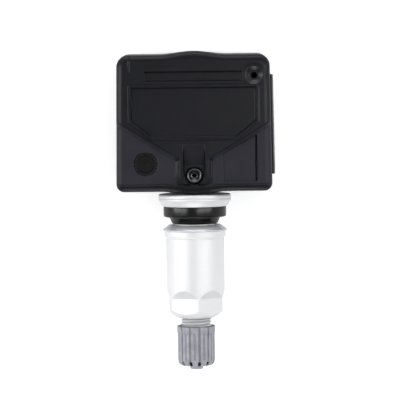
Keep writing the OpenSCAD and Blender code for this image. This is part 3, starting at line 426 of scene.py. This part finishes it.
def housing_surface(pitch=0.145):
    """The front face as a grid of places, and how far each is from the outer wall."""
    low_rows = WALL_STEM + arc_steps(CORNER_STEM, 14)
    high_rows = (WALL_FAR - arc_steps(CORNER_FAR, 17))[::-1]
    between = np.arange(low_rows[-1] + pitch, high_rows[0] - pitch / 2, pitch)
    rows = np.concatenate([low_rows, between, high_rows])
    edge = arc_steps(EDGE_R, 12)
    inner = np.linspace(-1, 1, int(2 * (HALF_W_STEM - EDGE_R) / pitch))[1:-1]
    from_low, from_high = rows - WALL_STEM, WALL_FAR - rows
    reach = half_width(rows)
    for radius, gap in ((CORNER_STEM, from_low), (CORNER_FAR, from_high)):
        past = np.clip(radius - gap, 0, radius)
        reach = reach - (radius - np.sqrt(radius ** 2 - past ** 2))
    x = np.concatenate([
        -reach[:, None] + edge[None, :],
        (reach[:, None] - EDGE_R) * inner[None, :],
        (reach[:, None] - edge[None, ::-1]),
    ], axis=1)
    y = np.repeat(rows[:, None], x.shape[1], axis=1)
    side = half_width(y) - np.abs(x)
    distance = side
    for radius, gap in ((CORNER_STEM, y - WALL_STEM), (CORNER_FAR, WALL_FAR - y)):
        corner = radius - np.hypot(np.clip(radius - side, 0, None), np.clip(radius - gap, 0, None))
        distance = np.minimum(distance, np.where((side < radius) & (gap < radius), corner, gap))
    distance = np.clip(distance, 0, None)
    swell = swell_shape(x)
    y = y + SWELL_FAR * swell * smooth_step(y - WALL_FAR + SWELL_BLEND / 2, SWELL_BLEND)
    y = y - SWELL_STEM * swell * smooth_step(WALL_STEM + SWELL_BLEND / 2 - y, SWELL_BLEND)
    rounding = EDGE_R - np.sqrt(np.clip(EDGE_R ** 2 - np.clip(EDGE_R - distance, 0, None) ** 2, 0, None))
    return x, y, face_heights(x, y) - rounding


def outline_of(grid):
    """The values round the edge of a grid, counter-clockwise."""
    return np.concatenate([grid[0, :-1], grid[:-1, -1], grid[-1, :0:-1], grid[:0:-1, 0]])


def mesh_piece(name, points_mm, faces, material, angle=40):
    mesh = bpy.data.meshes.new(name)
    mesh.from_pydata([tuple(p) for p in np.asarray(points_mm) * MM], [], faces)
    mesh.materials.append(material)
    mesh.validate()
    mesh.shade_smooth()
    mesh.set_sharp_from_angle(angle=math.radians(angle))
    piece = bpy.data.objects.new(name, mesh)
    bpy.context.scene.collection.objects.link(piece)
    return piece


def prism(name, outline, low_z, high_z):
    """A closed prism over a counter-clockwise outline."""
    count = len(outline)
    points = [(x, y, z) for z in (low_z, high_z) for x, y in outline]
    faces = [tuple(range(count))[::-1], tuple(range(count, 2 * count))]
    faces += [(i, (i + 1) % count, count + (i + 1) % count, count + i) for i in range(count)]
    return mesh_piece(name, points, faces, housing_black)


def rod(name, centre, radius, low, high, axis="z", sides=64):
    """A closed round rod along z, or along y, as a cutter."""
    turns = [2 * math.pi * i / sides for i in range(sides)]
    piece = prism(name, [(radius * math.cos(a), radius * math.sin(a)) for a in turns], low, high)
    if axis == "y":
        piece.data.transform(Matrix.Rotation(-math.pi / 2, 4, "X"))
    piece.data.transform(Matrix.Translation(Vector(centre) * MM))
    return piece


def rectangle(x0, y0, x1, y1):
    return [(x0, y0), (x1, y0), (x1, y1), (x0, y1)]


def carve(piece, cutters):
    """Cuts the cutters out of a piece, one after the other, and deletes them."""
    for cutter in cutters:
        modifier = piece.modifiers.new("cut", "BOOLEAN")
        modifier.operation, modifier.solver, modifier.object = "DIFFERENCE", "MANIFOLD", cutter
    shown = bpy.context.evaluated_depsgraph_get()
    shown.update()
    mesh = bpy.data.meshes.new_from_object(piece.evaluated_get(shown))
    piece.modifiers.clear()
    piece.data = mesh
    for cutter in cutters:
        bpy.data.objects.remove(cutter)
    mesh.shade_smooth()
    mesh.set_sharp_from_angle(angle=math.radians(48))


def paint_housing(mesh):
    """Gives the lower corners, the dial, the dish and the channel plastics of their own."""
    for material in (housing_corner, dial_black, dish_black, channel_black):
        mesh.materials.append(material)
    centres = np.empty(len(mesh.polygons) * 3)
    mesh.polygons.foreach_get("center", centres)
    centres = centres.reshape(-1, 3) / MM
    normals = np.empty(len(mesh.polygons) * 3)
    mesh.polygons.foreach_get("normal", normals)
    outside = (centres[:, 2] > LOW_Z - 1.0) & (normals.reshape(-1, 3)[:, 2] > 0.3)
    x, y = centres[:, 0], centres[:, 1]
    lower = outside & (panel_distance(x, y) < 0.3) & (y > SEAM_Y)
    lower &= np.where(y > SCREW_Y, np.abs(x), np.hypot(x, y - SCREW_Y)) > TIP_X + 1.0
    in_channel = outside & (np.abs(x) < CHANNEL_HALF_W - 0.1)
    in_channel &= (y > SCREW_Y + WELL_R) & (y < CHANNEL_TOP - 0.1)
    from_dial = np.hypot(x - DIAL[0], y - DIAL[1])
    on_tick = np.cos(DIAL_TICKS * np.arctan2(y - DIAL[1], x - DIAL[0])) > 0.45
    on_tick &= np.abs(from_dial - DIAL_R + TICK_IN) < TICK_L / 2
    on_dial = outside & (from_dial < DIAL_R) & ~on_tick
    from_port = np.hypot(x - PORT[0], y - PORT[1])
    in_dish = outside & (np.abs(from_port - (DISH_R + DISH_FLOOR_R) / 2) < (DISH_R - DISH_FLOOR_R) / 2)
    slots = np.select([on_dial, in_dish, in_channel, lower], [2, 3, 4, 1], 0)
    mesh.polygons.foreach_set("material_index", slots.astype(np.int32))


def housing_shell():
    x, y, z = housing_surface()
    rows, columns = x.shape
    points = np.stack([x, y, z], axis=-1).reshape(-1, 3)
    index = np.arange(rows * columns).reshape(rows, columns)
    quads = np.stack([index[:-1, :-1], index[:-1, 1:], index[1:, 1:], index[1:, :-1]], axis=-1)
    faces = quads.reshape(-1, 4).tolist()
    rim = outline_of(index)
    rim_points = points[rim]
    along = np.roll(rim_points, -1, axis=0) - np.roll(rim_points, 1, axis=0)
    outward = np.stack([along[:, 1], -along[:, 0]], axis=1)
    outward /= np.linalg.norm(outward, axis=1)[:, None]
    lean = DRAFT * (1 - swell_shape(rim_points[:, 0]))
    last = rim
    for fraction in (0.12, 0.5, 1.0):
        ring = rim_points.copy()
        ring[:, 2] += (COVER_Z - rim_points[:, 2]) * fraction
        ring[:, :2] += outward * (lean * fraction)[:, None]
        start = len(points)
        points = np.concatenate([points, ring])
        here = np.arange(start, start + len(rim))
        for i in range(len(rim)):
            following = (i + 1) % len(rim)
            faces.append([last[i], here[i], here[following], last[following]])
        last = here
    faces.append(last[::-1].tolist())
    piece = mesh_piece("housing_shell", points, faces, housing_black)
    room_w = HALF_W_FAR - WALL_T
    room_low, room_high = WALL_STEM + WALL_T, WALL_FAR - WALL_T
    room = [(-room_w, room_low), (-BOSS_HALF_W, room_low), (-BOSS_HALF_W, BOSS_END_Y),
            (BOSS_HALF_W, BOSS_END_Y), (BOSS_HALF_W, room_low), (room_w, room_low),
            (room_w, room_high), (-room_w, room_high)]
    under_boss = rectangle(-BOSS_HALF_W - 1, room_low, BOSS_HALF_W + 1, BOSS_END_Y + 1)
    vent = rectangle(VENT_X - VENT_W / 2, VENT_LOW_Y, VENT_X + VENT_W / 2, VENT_HIGH_Y)
    carve(piece, [
        prism("room", room, COVER_Z - 1, CEILING_Z),
        prism("under_boss", under_boss, COVER_Z - 1, BOSS_LOW_Z),
        rod("socket", (0, 0, 0), TAIL_R, 0, SOCKET_END_Y, "y"),
        rod("gallery", (0, 0, 0), GALLERY_R, 0, GALLERY_END_Y, "y"),
        prism("vent", vent, 0, FRONT_Z),
        rod("well", (0, SCREW_Y, 0), WELL_R, SCREW_SEAT_Z, FRONT_Z + 1),
        rod("screw_hole", (0, SCREW_Y, 0), SCREW_R, 0, SCREW_SEAT_Z + 1, sides=32),
        rod("port_hole", (*PORT, 0), PORT_R, CEILING_Z - 1, FRONT_Z + 1, sides=48),
    ])
    paint_housing(piece.data)
    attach(piece, "sensor")
    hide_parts("housing")


housing_shell()


# Valve stem: turned outline with a helical valve thread, in distances s along the stem from the collar's face

COLLAR_T, TAIL_L, NECK_L, NECK_R = 3.0, 8.9, 1.1, 3.1
COLLAR_R, COLLAR_FACE_R, COLLAR_BEVEL, TAIL_END_R = 9.05, 8.15, 1.4, 3.95
SHANK_R, SHANK_L, STEM_L = 5.0, 20.0, 37.6
THREAD_R, THREAD_DEPTH, THREAD_PITCH, THREAD_START, THREAD_END = 3.85, 0.43, 0.794, 22.0, STEM_L - 0.5
THREAD_ROWS, GROOVE_HALF_W, GROOVE_FLANK_W = 12, 0.44, 0.38  # rows a turn, and two shares of the pitch
BORE_R, CHAMBER_R, PASSAGE_R, SEAT_S, CHAMBER_END_S = 2.65, 2.0, 1.1, 31.9, 19.9
SCREW_L, TAIL_FLAT_Z, TAIL_HOLE_R, NECK_HOLE_R = 7.0, 3.0, 1.55, 0.35


def turned_outline():
    """The stem's outline as (s, r), from its tail round the tip to the bottom of its bore."""
    tail_s = -COLLAR_T - TAIL_L
    outline = [
        (tail_s, 0), (tail_s, TAIL_END_R - 0.5), (tail_s + 0.5, TAIL_END_R),
        (-COLLAR_T - NECK_L - 0.3, TAIL_END_R), (-COLLAR_T - NECK_L, NECK_R), (-COLLAR_T, NECK_R),
        (-COLLAR_T, COLLAR_R - 0.3), (-COLLAR_T + 0.1, COLLAR_R - 0.1), (-COLLAR_T + 0.3, COLLAR_R),
        (-2.0, COLLAR_R), (-1.95, COLLAR_R - 0.04), (-1.9, COLLAR_R),
        (-COLLAR_BEVEL - 0.1, COLLAR_R), (-COLLAR_BEVEL + 0.1, COLLAR_R - 0.1),
        (-0.12, COLLAR_FACE_R + 0.06), (0, COLLAR_FACE_R - 0.08), (0, SHANK_R), (SHANK_L, SHANK_R),
        (SHANK_L + 0.9, THREAD_R),
    ]
    thread_rows = int((THREAD_END - THREAD_START) / THREAD_PITCH * THREAD_ROWS)
    outline += [(THREAD_START + i * THREAD_PITCH / THREAD_ROWS, THREAD_R) for i in range(thread_rows)]
    return outline + [
        (THREAD_END, THREAD_R), (STEM_L - 0.2, THREAD_R - 0.2), (STEM_L, THREAD_R - 0.5),
        (STEM_L, BORE_R + 0.15),
        (STEM_L - 0.15, BORE_R), (SEAT_S, BORE_R), (SEAT_S - 1.2, CHAMBER_R), (CHAMBER_END_S, CHAMBER_R),
        (CHAMBER_END_S - 0.6, PASSAGE_R), (-COLLAR_T - NECK_L, PASSAGE_R), (-COLLAR_T - NECK_L, 0),
    ]


def stem_reach(s, r, angles):
    """Radius round the stem at one row: the valve thread's groove runs out at both ends."""
    if not (THREAD_START <= s <= THREAD_END and abs(r - THREAD_R) < 0.01):
        return np.full_like(angles, r)
    phase = (s - THREAD_START) / THREAD_PITCH - angles / (2 * math.pi)
    flank = np.clip((GROOVE_HALF_W - np.abs(phase - np.floor(phase) - 0.5)) / GROOVE_FLANK_W, 0, 1)
    fade = np.clip(np.minimum(s - THREAD_START, THREAD_END - s) / 0.5, 0, 1)
    return r - THREAD_DEPTH * flank * fade


def lathe(name, outline, material, reach_at, sides=128):
    """Turns an outline that starts and ends on the stem's axis, with reach_at giving each row's radii."""
    angles = 2 * math.pi * np.arange(sides) / sides
    points = [(0, -outline[0][0], 0)]
    for s, r in outline[1:-1]:
        reach = reach_at(s, r, angles)
        points += list(zip(reach * np.cos(angles), np.full(sides, -s), reach * np.sin(angles)))
    points.append((0, -outline[-1][0], 0))
    last = len(points) - 1
    faces = []
    for j in range(sides):
        k = (j + 1) % sides
        faces.append((0, 1 + k, 1 + j))
        for i in range(len(outline) - 3):
            a, b = 1 + i * sides, 1 + (i + 1) * sides
            faces.append((a + j, a + k, b + k, b + j))
        a = 1 + (len(outline) - 3) * sides
        faces.append((a + j, a + k, last))
    return mesh_piece(name, points, [f[::-1] for f in faces], material)


def stem():
    piece = lathe("stem", turned_outline(), stem_metal, stem_reach)
    neck_y = COLLAR_T + NECK_L / 2
    hole = rod("neck_hole", (0, 0, 0), NECK_HOLE_R, -2 * NECK_R, 2 * NECK_R, sides=32)
    hole.data.transform(Matrix.Translation((0, neck_y * MM, 0)) @ Matrix.Rotation(math.pi / 2, 4, "Y"))
    bottom_z = SCREW_SEAT_Z - SCREW_L - 0.4
    flat = rectangle(-5, COLLAR_T + NECK_L + 1, 5, COLLAR_T + TAIL_L + 1)
    carve(piece, [
        hole,
        rod("tail_hole", (0, SCREW_Y, 0), TAIL_HOLE_R, bottom_z, TAIL_END_R + 1, sides=48),
        prism("tail_flat", flat, TAIL_FLAT_Z, TAIL_END_R + 1),
    ])
    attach(piece, "sensor")
    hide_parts("valve_stem")


stem()


def lathe_ring(name, outline, material, sides=128):
    """Turns a closed outline of (s, r) about the stem's axis into a ring."""
    angles = 2 * math.pi * np.arange(sides) / sides
    points = []
    for s, r in outline:
        points += list(zip(r * np.cos(angles), np.full(sides, -s), r * np.sin(angles)))
    faces = []
    for i in range(len(outline)):
        a, b = i * sides, (i + 1) % len(outline) * sides
        faces += [(a + j, b + j, b + (j + 1) % sides, a + (j + 1) % sides) for j in range(sides)]
    return mesh_piece(name, points, faces, material)


# Washer between the rim and the nut, with the long bevel turned on its rim side
WASHER_BORE_R, WASHER_R, WASHER_S, WASHER_T, WASHER_BEVEL_R = 5.3, 8.05, 4.65, 1.4, 6.5


def washer():
    end_s = WASHER_S + WASHER_T
    piece = lathe_ring("clamp_washer", [
        (WASHER_S, WASHER_BORE_R), (WASHER_S, WASHER_BEVEL_R - 0.1), (WASHER_S + 0.05, WASHER_BEVEL_R),
        (end_s - 0.25, WASHER_R - 0.05), (end_s - 0.18, WASHER_R), (end_s - 0.08, WASHER_R),
        (end_s, WASHER_R - 0.08), (end_s, WASHER_BORE_R),
    ], washer_metal)
    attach(piece, "nut_slide")
    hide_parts("washer")


washer()


# Grommet that seals the rim's hole: wide flange against the collar, and a nose with rounded corners
GROMMET_BORE_R, GROMMET_R, FLANGE_T, GROMMET_L, NOSE_R, NOSE_TIP_R = 5.05, 7.85, 2.7, 4.45, 6.35, 5.95


def corner(s, r, radius, start, steps=5):
    """A quarter turn round (s, r), from the angle start, as points of an outline."""
    turns = [start + math.pi / 2 * i / steps for i in range(steps + 1)]
    return [(s - radius * math.cos(a), r + radius * math.sin(a)) for a in turns]


def grommet():
    outline = [(0, GROMMET_BORE_R), (0, GROMMET_R - 0.22)] + corner(0.2, GROMMET_R - 0.2, 0.2, 0)[1:]
    outline += corner(FLANGE_T - 0.45, GROMMET_R - 0.45, 0.45, math.pi / 2)
    outline += [(FLANGE_T - 0.02, NOSE_R + 0.25), (FLANGE_T + 0.05, NOSE_R + 0.08), (FLANGE_T + 0.2, NOSE_R)]
    outline += corner(GROMMET_L - 0.75, NOSE_TIP_R - 0.75, 0.75, math.pi / 2, 8)
    outline += [(GROMMET_L, GROMMET_BORE_R)]
    piece = lathe_ring("rim_grommet", outline, grommet_black)
    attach(piece, "sensor")
    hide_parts("grommet")


grommet()


# Valve cap: a scalloped rim, grooves, a rounded end with a notch at every second groove, and a hollow nub
CAP_S, CAP_RIM_L, CAP_END_S, CAP_FLOOR_S, CAP_BORE_R = 30.0, 1.8, 40.0, 38.8, 3.95
CAP_R, CAP_RIM_R, CAP_ROUND_L, CAP_END_R, CAP_TURN = 4.62, 4.77, 1.6, 3.6, math.radians(10)
CAP_GROOVES, CAP_GROOVE_R, CAP_FAINT, NOTCH_S, NOTCH_HALF_W, NOTCH_R = 24, 0.28, 0.5, 38.95, 0.42, 3.35
NUB_R, NUB_H = 1.65, 1.0


def cap_outline():
    """Rows of (s, r) from the bore's floor round the mouth, along the ribs and over the end to the nub."""
    rows = [(CAP_FLOOR_S, 0), (CAP_FLOOR_S, CAP_BORE_R), (CAP_S + 0.3, CAP_BORE_R), (CAP_S, CAP_BORE_R + 0.2)]
    rows += [(CAP_S, CAP_RIM_R - 0.36), (CAP_S + 0.04, CAP_RIM_R - 0.06), (CAP_S + 0.12, CAP_RIM_R)]
    rim_end = CAP_S + CAP_RIM_L
    rows += [(rim_end - 0.1, CAP_RIM_R), (rim_end, CAP_RIM_R - 0.04), (rim_end + 0.06, CAP_R)]
    round_s = CAP_END_S - CAP_ROUND_L
    rows += [(s, CAP_R) for s in np.linspace(rim_end + 0.3, round_s, 28)]
    for turn in np.radians(np.linspace(4, 90, 40)):
        r = CAP_END_R + (CAP_R - CAP_END_R) * math.cos(turn)
        rows.append((round_s + CAP_ROUND_L * math.sin(turn), r))
    rows += [(CAP_END_S, NOTCH_R - 0.1), (CAP_END_S, NUB_R + 0.12), (CAP_END_S + 0.08, NUB_R)]
    top = CAP_END_S + NUB_H
    return rows + [(top - 0.25, NUB_R), (top - 0.07, NUB_R - 0.08), (top, NUB_R - 0.28), (top, NUB_R - 0.65),
                   (top - 0.1, NUB_R - 0.78), (top - 0.35, NUB_R - 0.9), (top - 0.35, 0)]


def cap_reach(s, r, angles):
    """Radius round the cap at one row: the grooves between the ribs and the notches of the end."""
    in_bore_or_mouth = s < NOTCH_S and r < CAP_RIM_R - 0.3
    if in_bore_or_mouth or r < NOTCH_R or s > CAP_END_S + 0.01:
        return np.full_like(angles, r)
    pitch = 2 * math.pi / CAP_GROOVES
    from_start = (angles + CAP_TURN) / pitch
    nearest = np.round(from_start)
    off = np.abs(from_start - nearest) * pitch * CAP_R
    at_notch = nearest % 2 == 0
    depth = np.sqrt(np.clip(CAP_GROOVE_R ** 2 - off ** 2, 0, None)) * np.where(at_notch, 1.0, CAP_FAINT)
    depth = depth * (1 - smooth_step(s - CAP_END_S + 0.45, 0.5) * ~at_notch)
    notch = smooth_step(NOTCH_HALF_W - off, 0.12) * smooth_step(s - NOTCH_S, 0.14) * at_notch
    reach = r - depth * smooth_step(r - CAP_END_R, 0.3)
    return reach + (np.minimum(reach, NOTCH_R) - reach) * notch


def valve_cap():
    piece = lathe("ribbed_cap", cap_outline(), cap_grey, cap_reach, 480)
    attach(piece, "cap")
    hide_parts("valve_cap")


valve_cap()


# Screw that holds the stem's tail: a dished head with a six-lobed socket, turned about its own axis
SCREW_HEAD_R, SCREW_HEAD_H, SCREW_DISH, DISH_LOW_R = 1.95, 1.5, 0.65, 0.8
SOCKET_R, LOBE_R, LOBE_AT, SOCKET_DEPTH = 0.52, 0.2, 0.5, 0.95
SCREW_THREAD_R, SCREW_PITCH, SCREW_THREAD_DEPTH, SCREW_ROWS = 1.5, 0.5, 0.22, 8
SCREW_THREAD_START, SCREW_THREAD_END = 0.4, SCREW_L - 0.6


def six_lobes(steps=10):
    """Outline of the socket: a circle with six rounded lobes."""
    turns = [2 * math.pi * i / (6 * steps) for i in range(6 * steps)]
    reach = [SOCKET_R + (LOBE_AT + LOBE_R - SOCKET_R) * max(0.0, math.cos(6 * a)) for a in turns]
    return [(r * math.cos(a), SCREW_Y + r * math.sin(a)) for r, a in zip(reach, turns)]


def screw_reach(s, r, angles):
    """Radius round the screw at one row, with its thread fading out under the head and at the tip."""
    if not (SCREW_THREAD_START <= s <= SCREW_THREAD_END and abs(r - SCREW_THREAD_R) < 0.01):
        return np.full_like(angles, r)
    phase = s / SCREW_PITCH - angles / (2 * math.pi)
    flank = np.clip(1 - 2.4 * np.abs(phase - np.floor(phase) - 0.5), 0, 1)
    fade = min(1.0, s - SCREW_THREAD_START, SCREW_THREAD_END - s)
    return r - SCREW_THREAD_DEPTH * flank * fade


def screw():
    head_top = SCREW_HEAD_H
    rows = int((SCREW_L - 0.9) / SCREW_PITCH * SCREW_ROWS)
    outline = [(-head_top + SCREW_DISH, 0), (-head_top + SCREW_DISH, DISH_LOW_R - 0.1)]
    outline += [(-head_top + SCREW_DISH * (1 - t) ** 1.6, DISH_LOW_R + (SCREW_HEAD_R - 0.3 - DISH_LOW_R) * t)
                for t in (0.05, 0.2, 0.4, 0.6, 0.8, 1.0)]
    outline += [(-head_top + 0.04, SCREW_HEAD_R - 0.12), (-head_top + 0.2, SCREW_HEAD_R), (0, SCREW_HEAD_R),
                (0, SCREW_THREAD_R)]
    outline += [(SCREW_THREAD_START + i * SCREW_PITCH / SCREW_ROWS, SCREW_THREAD_R) for i in range(rows)]
    outline += [(SCREW_L - 0.5, SCREW_THREAD_R - 0.02), (SCREW_L, SCREW_THREAD_R - 0.4), (SCREW_L, 0)]

    piece = lathe("screw", outline, dark_steel, screw_reach, 96)
    stand = Matrix.Translation(Vector((0, SCREW_Y, SCREW_SEAT_Z)) * MM) @ Matrix.Rotation(math.pi / 2, 4, "X")
    piece.data.transform(stand)
    floor_z = SCREW_SEAT_Z + SCREW_HEAD_H - SCREW_DISH
    carve(piece, [prism("socket", six_lobes(), floor_z - SOCKET_DEPTH, floor_z + 1)])
    # Painted shade: the socket's walls and floor take the near-black socket material
    piece.data.materials.append(socket_painted_shade)
    socket_low, socket_high = floor_z - SOCKET_DEPTH - 0.01, floor_z - 0.02
    for face in piece.data.polygons:
        place = face.center / MM
        from_axis = math.hypot(place.x, place.y - SCREW_Y)
        if from_axis < LOBE_AT + LOBE_R + 0.02 and socket_low < place.z < socket_high:
            face.material_index = len(piece.data.materials) - 1
    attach(piece, "sensor")
    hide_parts("stem_screw")


screw()


# Spring of the valve core: a coil with closed ends, built at one length, though the real one shortens as its
# pin is pressed
SPRING_BASE_S, SPRING_TURNS, WIRE_R, PIN_PRESS, SPRING_GAP = 24.5, 6.0, 0.16, 1.2, 0.02


def coil_spring(steps=40, sides=12):
    low, high = box_mm("core_spring")
    mean_r = high.x - WIRE_R - 0.01
    length = high.y - low.y - 2 * SPRING_GAP
    rise = length - 2 * WIRE_R
    turns = np.linspace(0, SPRING_TURNS, int(SPRING_TURNS * steps) + 1)
    closed = np.interp(turns, [0, 0.8, SPRING_TURNS - 0.8, SPRING_TURNS], [0, 0.07, 0.93, 1])
    points = []
    for turn, part in zip(turns, closed):
        angle = 2 * math.pi * turn
        for side in range(sides):
            a = 2 * math.pi * side / sides
            reach = mean_r + WIRE_R * math.cos(a)
            s = SPRING_BASE_S + SPRING_GAP + WIRE_R + rise * part + WIRE_R * math.sin(a)
            points.append((reach * math.cos(angle), -s, reach * math.sin(angle)))
    faces = []
    for i in range(len(turns) - 1):
        for side in range(sides):
            a, b = i * sides + side, i * sides + (side + 1) % sides
            faces.append((a, a + sides, b + sides, b))
    last = (len(turns) - 1) * sides
    faces += [tuple(range(sides)), tuple(range(last, last + sides))[::-1]]
    piece = mesh_piece("core_coil_spring", points, faces, screw_metal)
    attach(piece, "sensor")
    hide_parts("core_spring")
    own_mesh(piece)


coil_spring()


# Camera at the photograph's viewing angle: over the front face, tipped 3 degrees to the housing's far end
LOOK_AT = Vector((1.33, 1.415, 0.0))
DISTANCE = 650.0
TILT = math.radians(3.15)
ROLL = math.radians(0.7)
FOCAL_PX = 2597.7
FRAME_PX = 400.0

towards = Vector((0, math.sin(TILT), math.cos(TILT)))
up = Vector((0, math.cos(TILT), -math.sin(TILT)))
right = Vector((1, 0, 0))
image_right = right * math.cos(ROLL) - up * math.sin(ROLL)
image_up = up * math.cos(ROLL) + right * math.sin(ROLL)
camera_data = bpy.data.cameras.new("camera")
camera_data.sensor_width = 36.0
camera_data.lens = camera_data.sensor_width * FOCAL_PX / FRAME_PX
camera_data.clip_start, camera_data.clip_end = 0.01, 5.0
camera = bpy.data.objects.new("camera", camera_data)
camera.matrix_world = Matrix.Translation((LOOK_AT + towards * DISTANCE) * MM) @ Matrix(
    (image_right, image_up, towards)).transposed().to_4x4()
bpy.context.scene.collection.objects.link(camera)
bpy.context.scene.camera = camera


# Floor: pale, a little brighter for the camera, and darker in what reflects it
FLOOR_PALE, FLOOR_REFLECTED = (0.82, 0.82, 0.83, 1), (0.45, 0.45, 0.46, 1)
FLOOR_GLOW, FLOOR_GLOW_SEEN = 0.4, 0.56


def pale_floor(level_mm, reach=1.2):
    mesh = bpy.data.meshes.new("floor")
    z = level_mm * MM
    corners = [(x, y, z) for x, y in rectangle(-reach, -reach, reach, reach)]
    mesh.from_pydata(corners, [], [(0, 1, 2, 3)])
    floor = bpy.data.objects.new("floor", mesh)
    bpy.context.scene.collection.objects.link(floor)
    material, tree, shader = new_material("floor_white")
    shader.inputs["Roughness"].default_value = 0.9
    shader.inputs["Specular IOR Level"].default_value = 0.1
    path = add(tree, "ShaderNodeLightPath")
    paint = add(tree, "ShaderNodeMix", data_type="RGBA")
    paint.inputs[6].default_value = FLOOR_PALE
    paint.inputs[7].default_value = FLOOR_REFLECTED
    tree.links.new(path.outputs["Is Glossy Ray"], paint.inputs[0])
    tree.links.new(paint.outputs[2], shader.inputs["Base Color"])
    glow = remap(tree, path.outputs["Is Camera Ray"], FLOOR_GLOW, FLOOR_GLOW_SEEN, 0.0, 1.0)
    shader.inputs["Emission Color"].default_value = (1, 1, 1, 1)
    tree.links.new(glow, shader.inputs["Emission Strength"])
    mesh.materials.append(material)


pale_floor(box_mm("back_cover")[0].z)


# Light: a tall narrow light at either side for the streaks on the metal, and a wide one at either end
def soft_light(name, place_mm, aim_mm, size_mm, watts):
    data = bpy.data.lights.new(name, "AREA")
    data.shape = "RECTANGLE"
    data.size, data.size_y = size_mm[0] * MM, size_mm[1] * MM
    data.energy = watts
    light = bpy.data.objects.new(name, data)
    light.location = Vector(place_mm) * MM
    light.rotation_euler = (Vector(aim_mm) - Vector(place_mm)).to_track_quat("-Z", "Y").to_euler()
    bpy.context.scene.collection.objects.link(light)


soft_light("left_light", (-350, 20, 238), (0, 0, 0), (85, 430), 0.66)
soft_light("right_light", (240, 20, 348), (0, 0, 0), (75, 430), 0.56)
soft_light("far_light", (0, 430, 150), (0, 20, 0), (420, 150), 0.55)
soft_light("near_light", (0, -430, 90), (0, -20, 0), (260, 110), 0.34)


# World: white to the camera, dimmer overhead, and dark beyond the stem's end to either side
SKY_LOW, SKY_HIGH, SKY_FROM_Z, SKY_TO_Z = 0.62, 0.3, 0.3, 0.9
FLAG_SHADE, FLAG_FROM_Y, FLAG_TO_Y, FLAG_FROM_X, FLAG_TO_X = 0.92, -0.2, -0.55, 0.3, 0.6


def studio_world():
    world = bpy.data.worlds.new("studio")
    world.use_nodes = True
    bpy.context.scene.world = world
    sky = world.node_tree
    background = sky.nodes["Background"]
    background.inputs["Color"].default_value = (1, 1, 1, 1)
    direction = add(sky, "ShaderNodeTexCoord")
    towards = add(sky, "ShaderNodeSeparateXYZ")
    sky.links.new(direction.outputs["Generated"], towards.inputs["Vector"])
    soft = {"interpolation_type": "SMOOTHSTEP"}
    overhead = remap(sky, towards.outputs["Z"], SKY_LOW, SKY_HIGH, SKY_FROM_Z, SKY_TO_Z, **soft)
    flag_y = remap(sky, towards.outputs["Y"], 0.0, FLAG_SHADE, FLAG_FROM_Y, FLAG_TO_Y, **soft)
    across = add(sky, "ShaderNodeMath", operation="ABSOLUTE")
    sky.links.new(towards.outputs["X"], across.inputs[0])
    flag_x = remap(sky, across.outputs[0], 0.0, 1.0, FLAG_FROM_X, FLAG_TO_X, **soft)
    let_through = add(sky, "ShaderNodeMath", operation="SUBTRACT")
    let_through.inputs[0].default_value = 1.0
    sky.links.new(combine(sky, "MULTIPLY", flag_y, flag_x), let_through.inputs[1])
    shaded = combine(sky, "MULTIPLY", overhead, let_through.outputs[0])
    path = add(sky, "ShaderNodeLightPath")
    strength = add(sky, "ShaderNodeMix")
    strength.inputs[3].default_value = 1.0
    sky.links.new(path.outputs["Is Camera Ray"], strength.inputs[0])
    sky.links.new(shaded, strength.inputs[2])
    sky.links.new(strength.outputs[0], background.inputs["Strength"])


studio_world()
bpy.context.scene.view_settings.view_transform = "Standard"
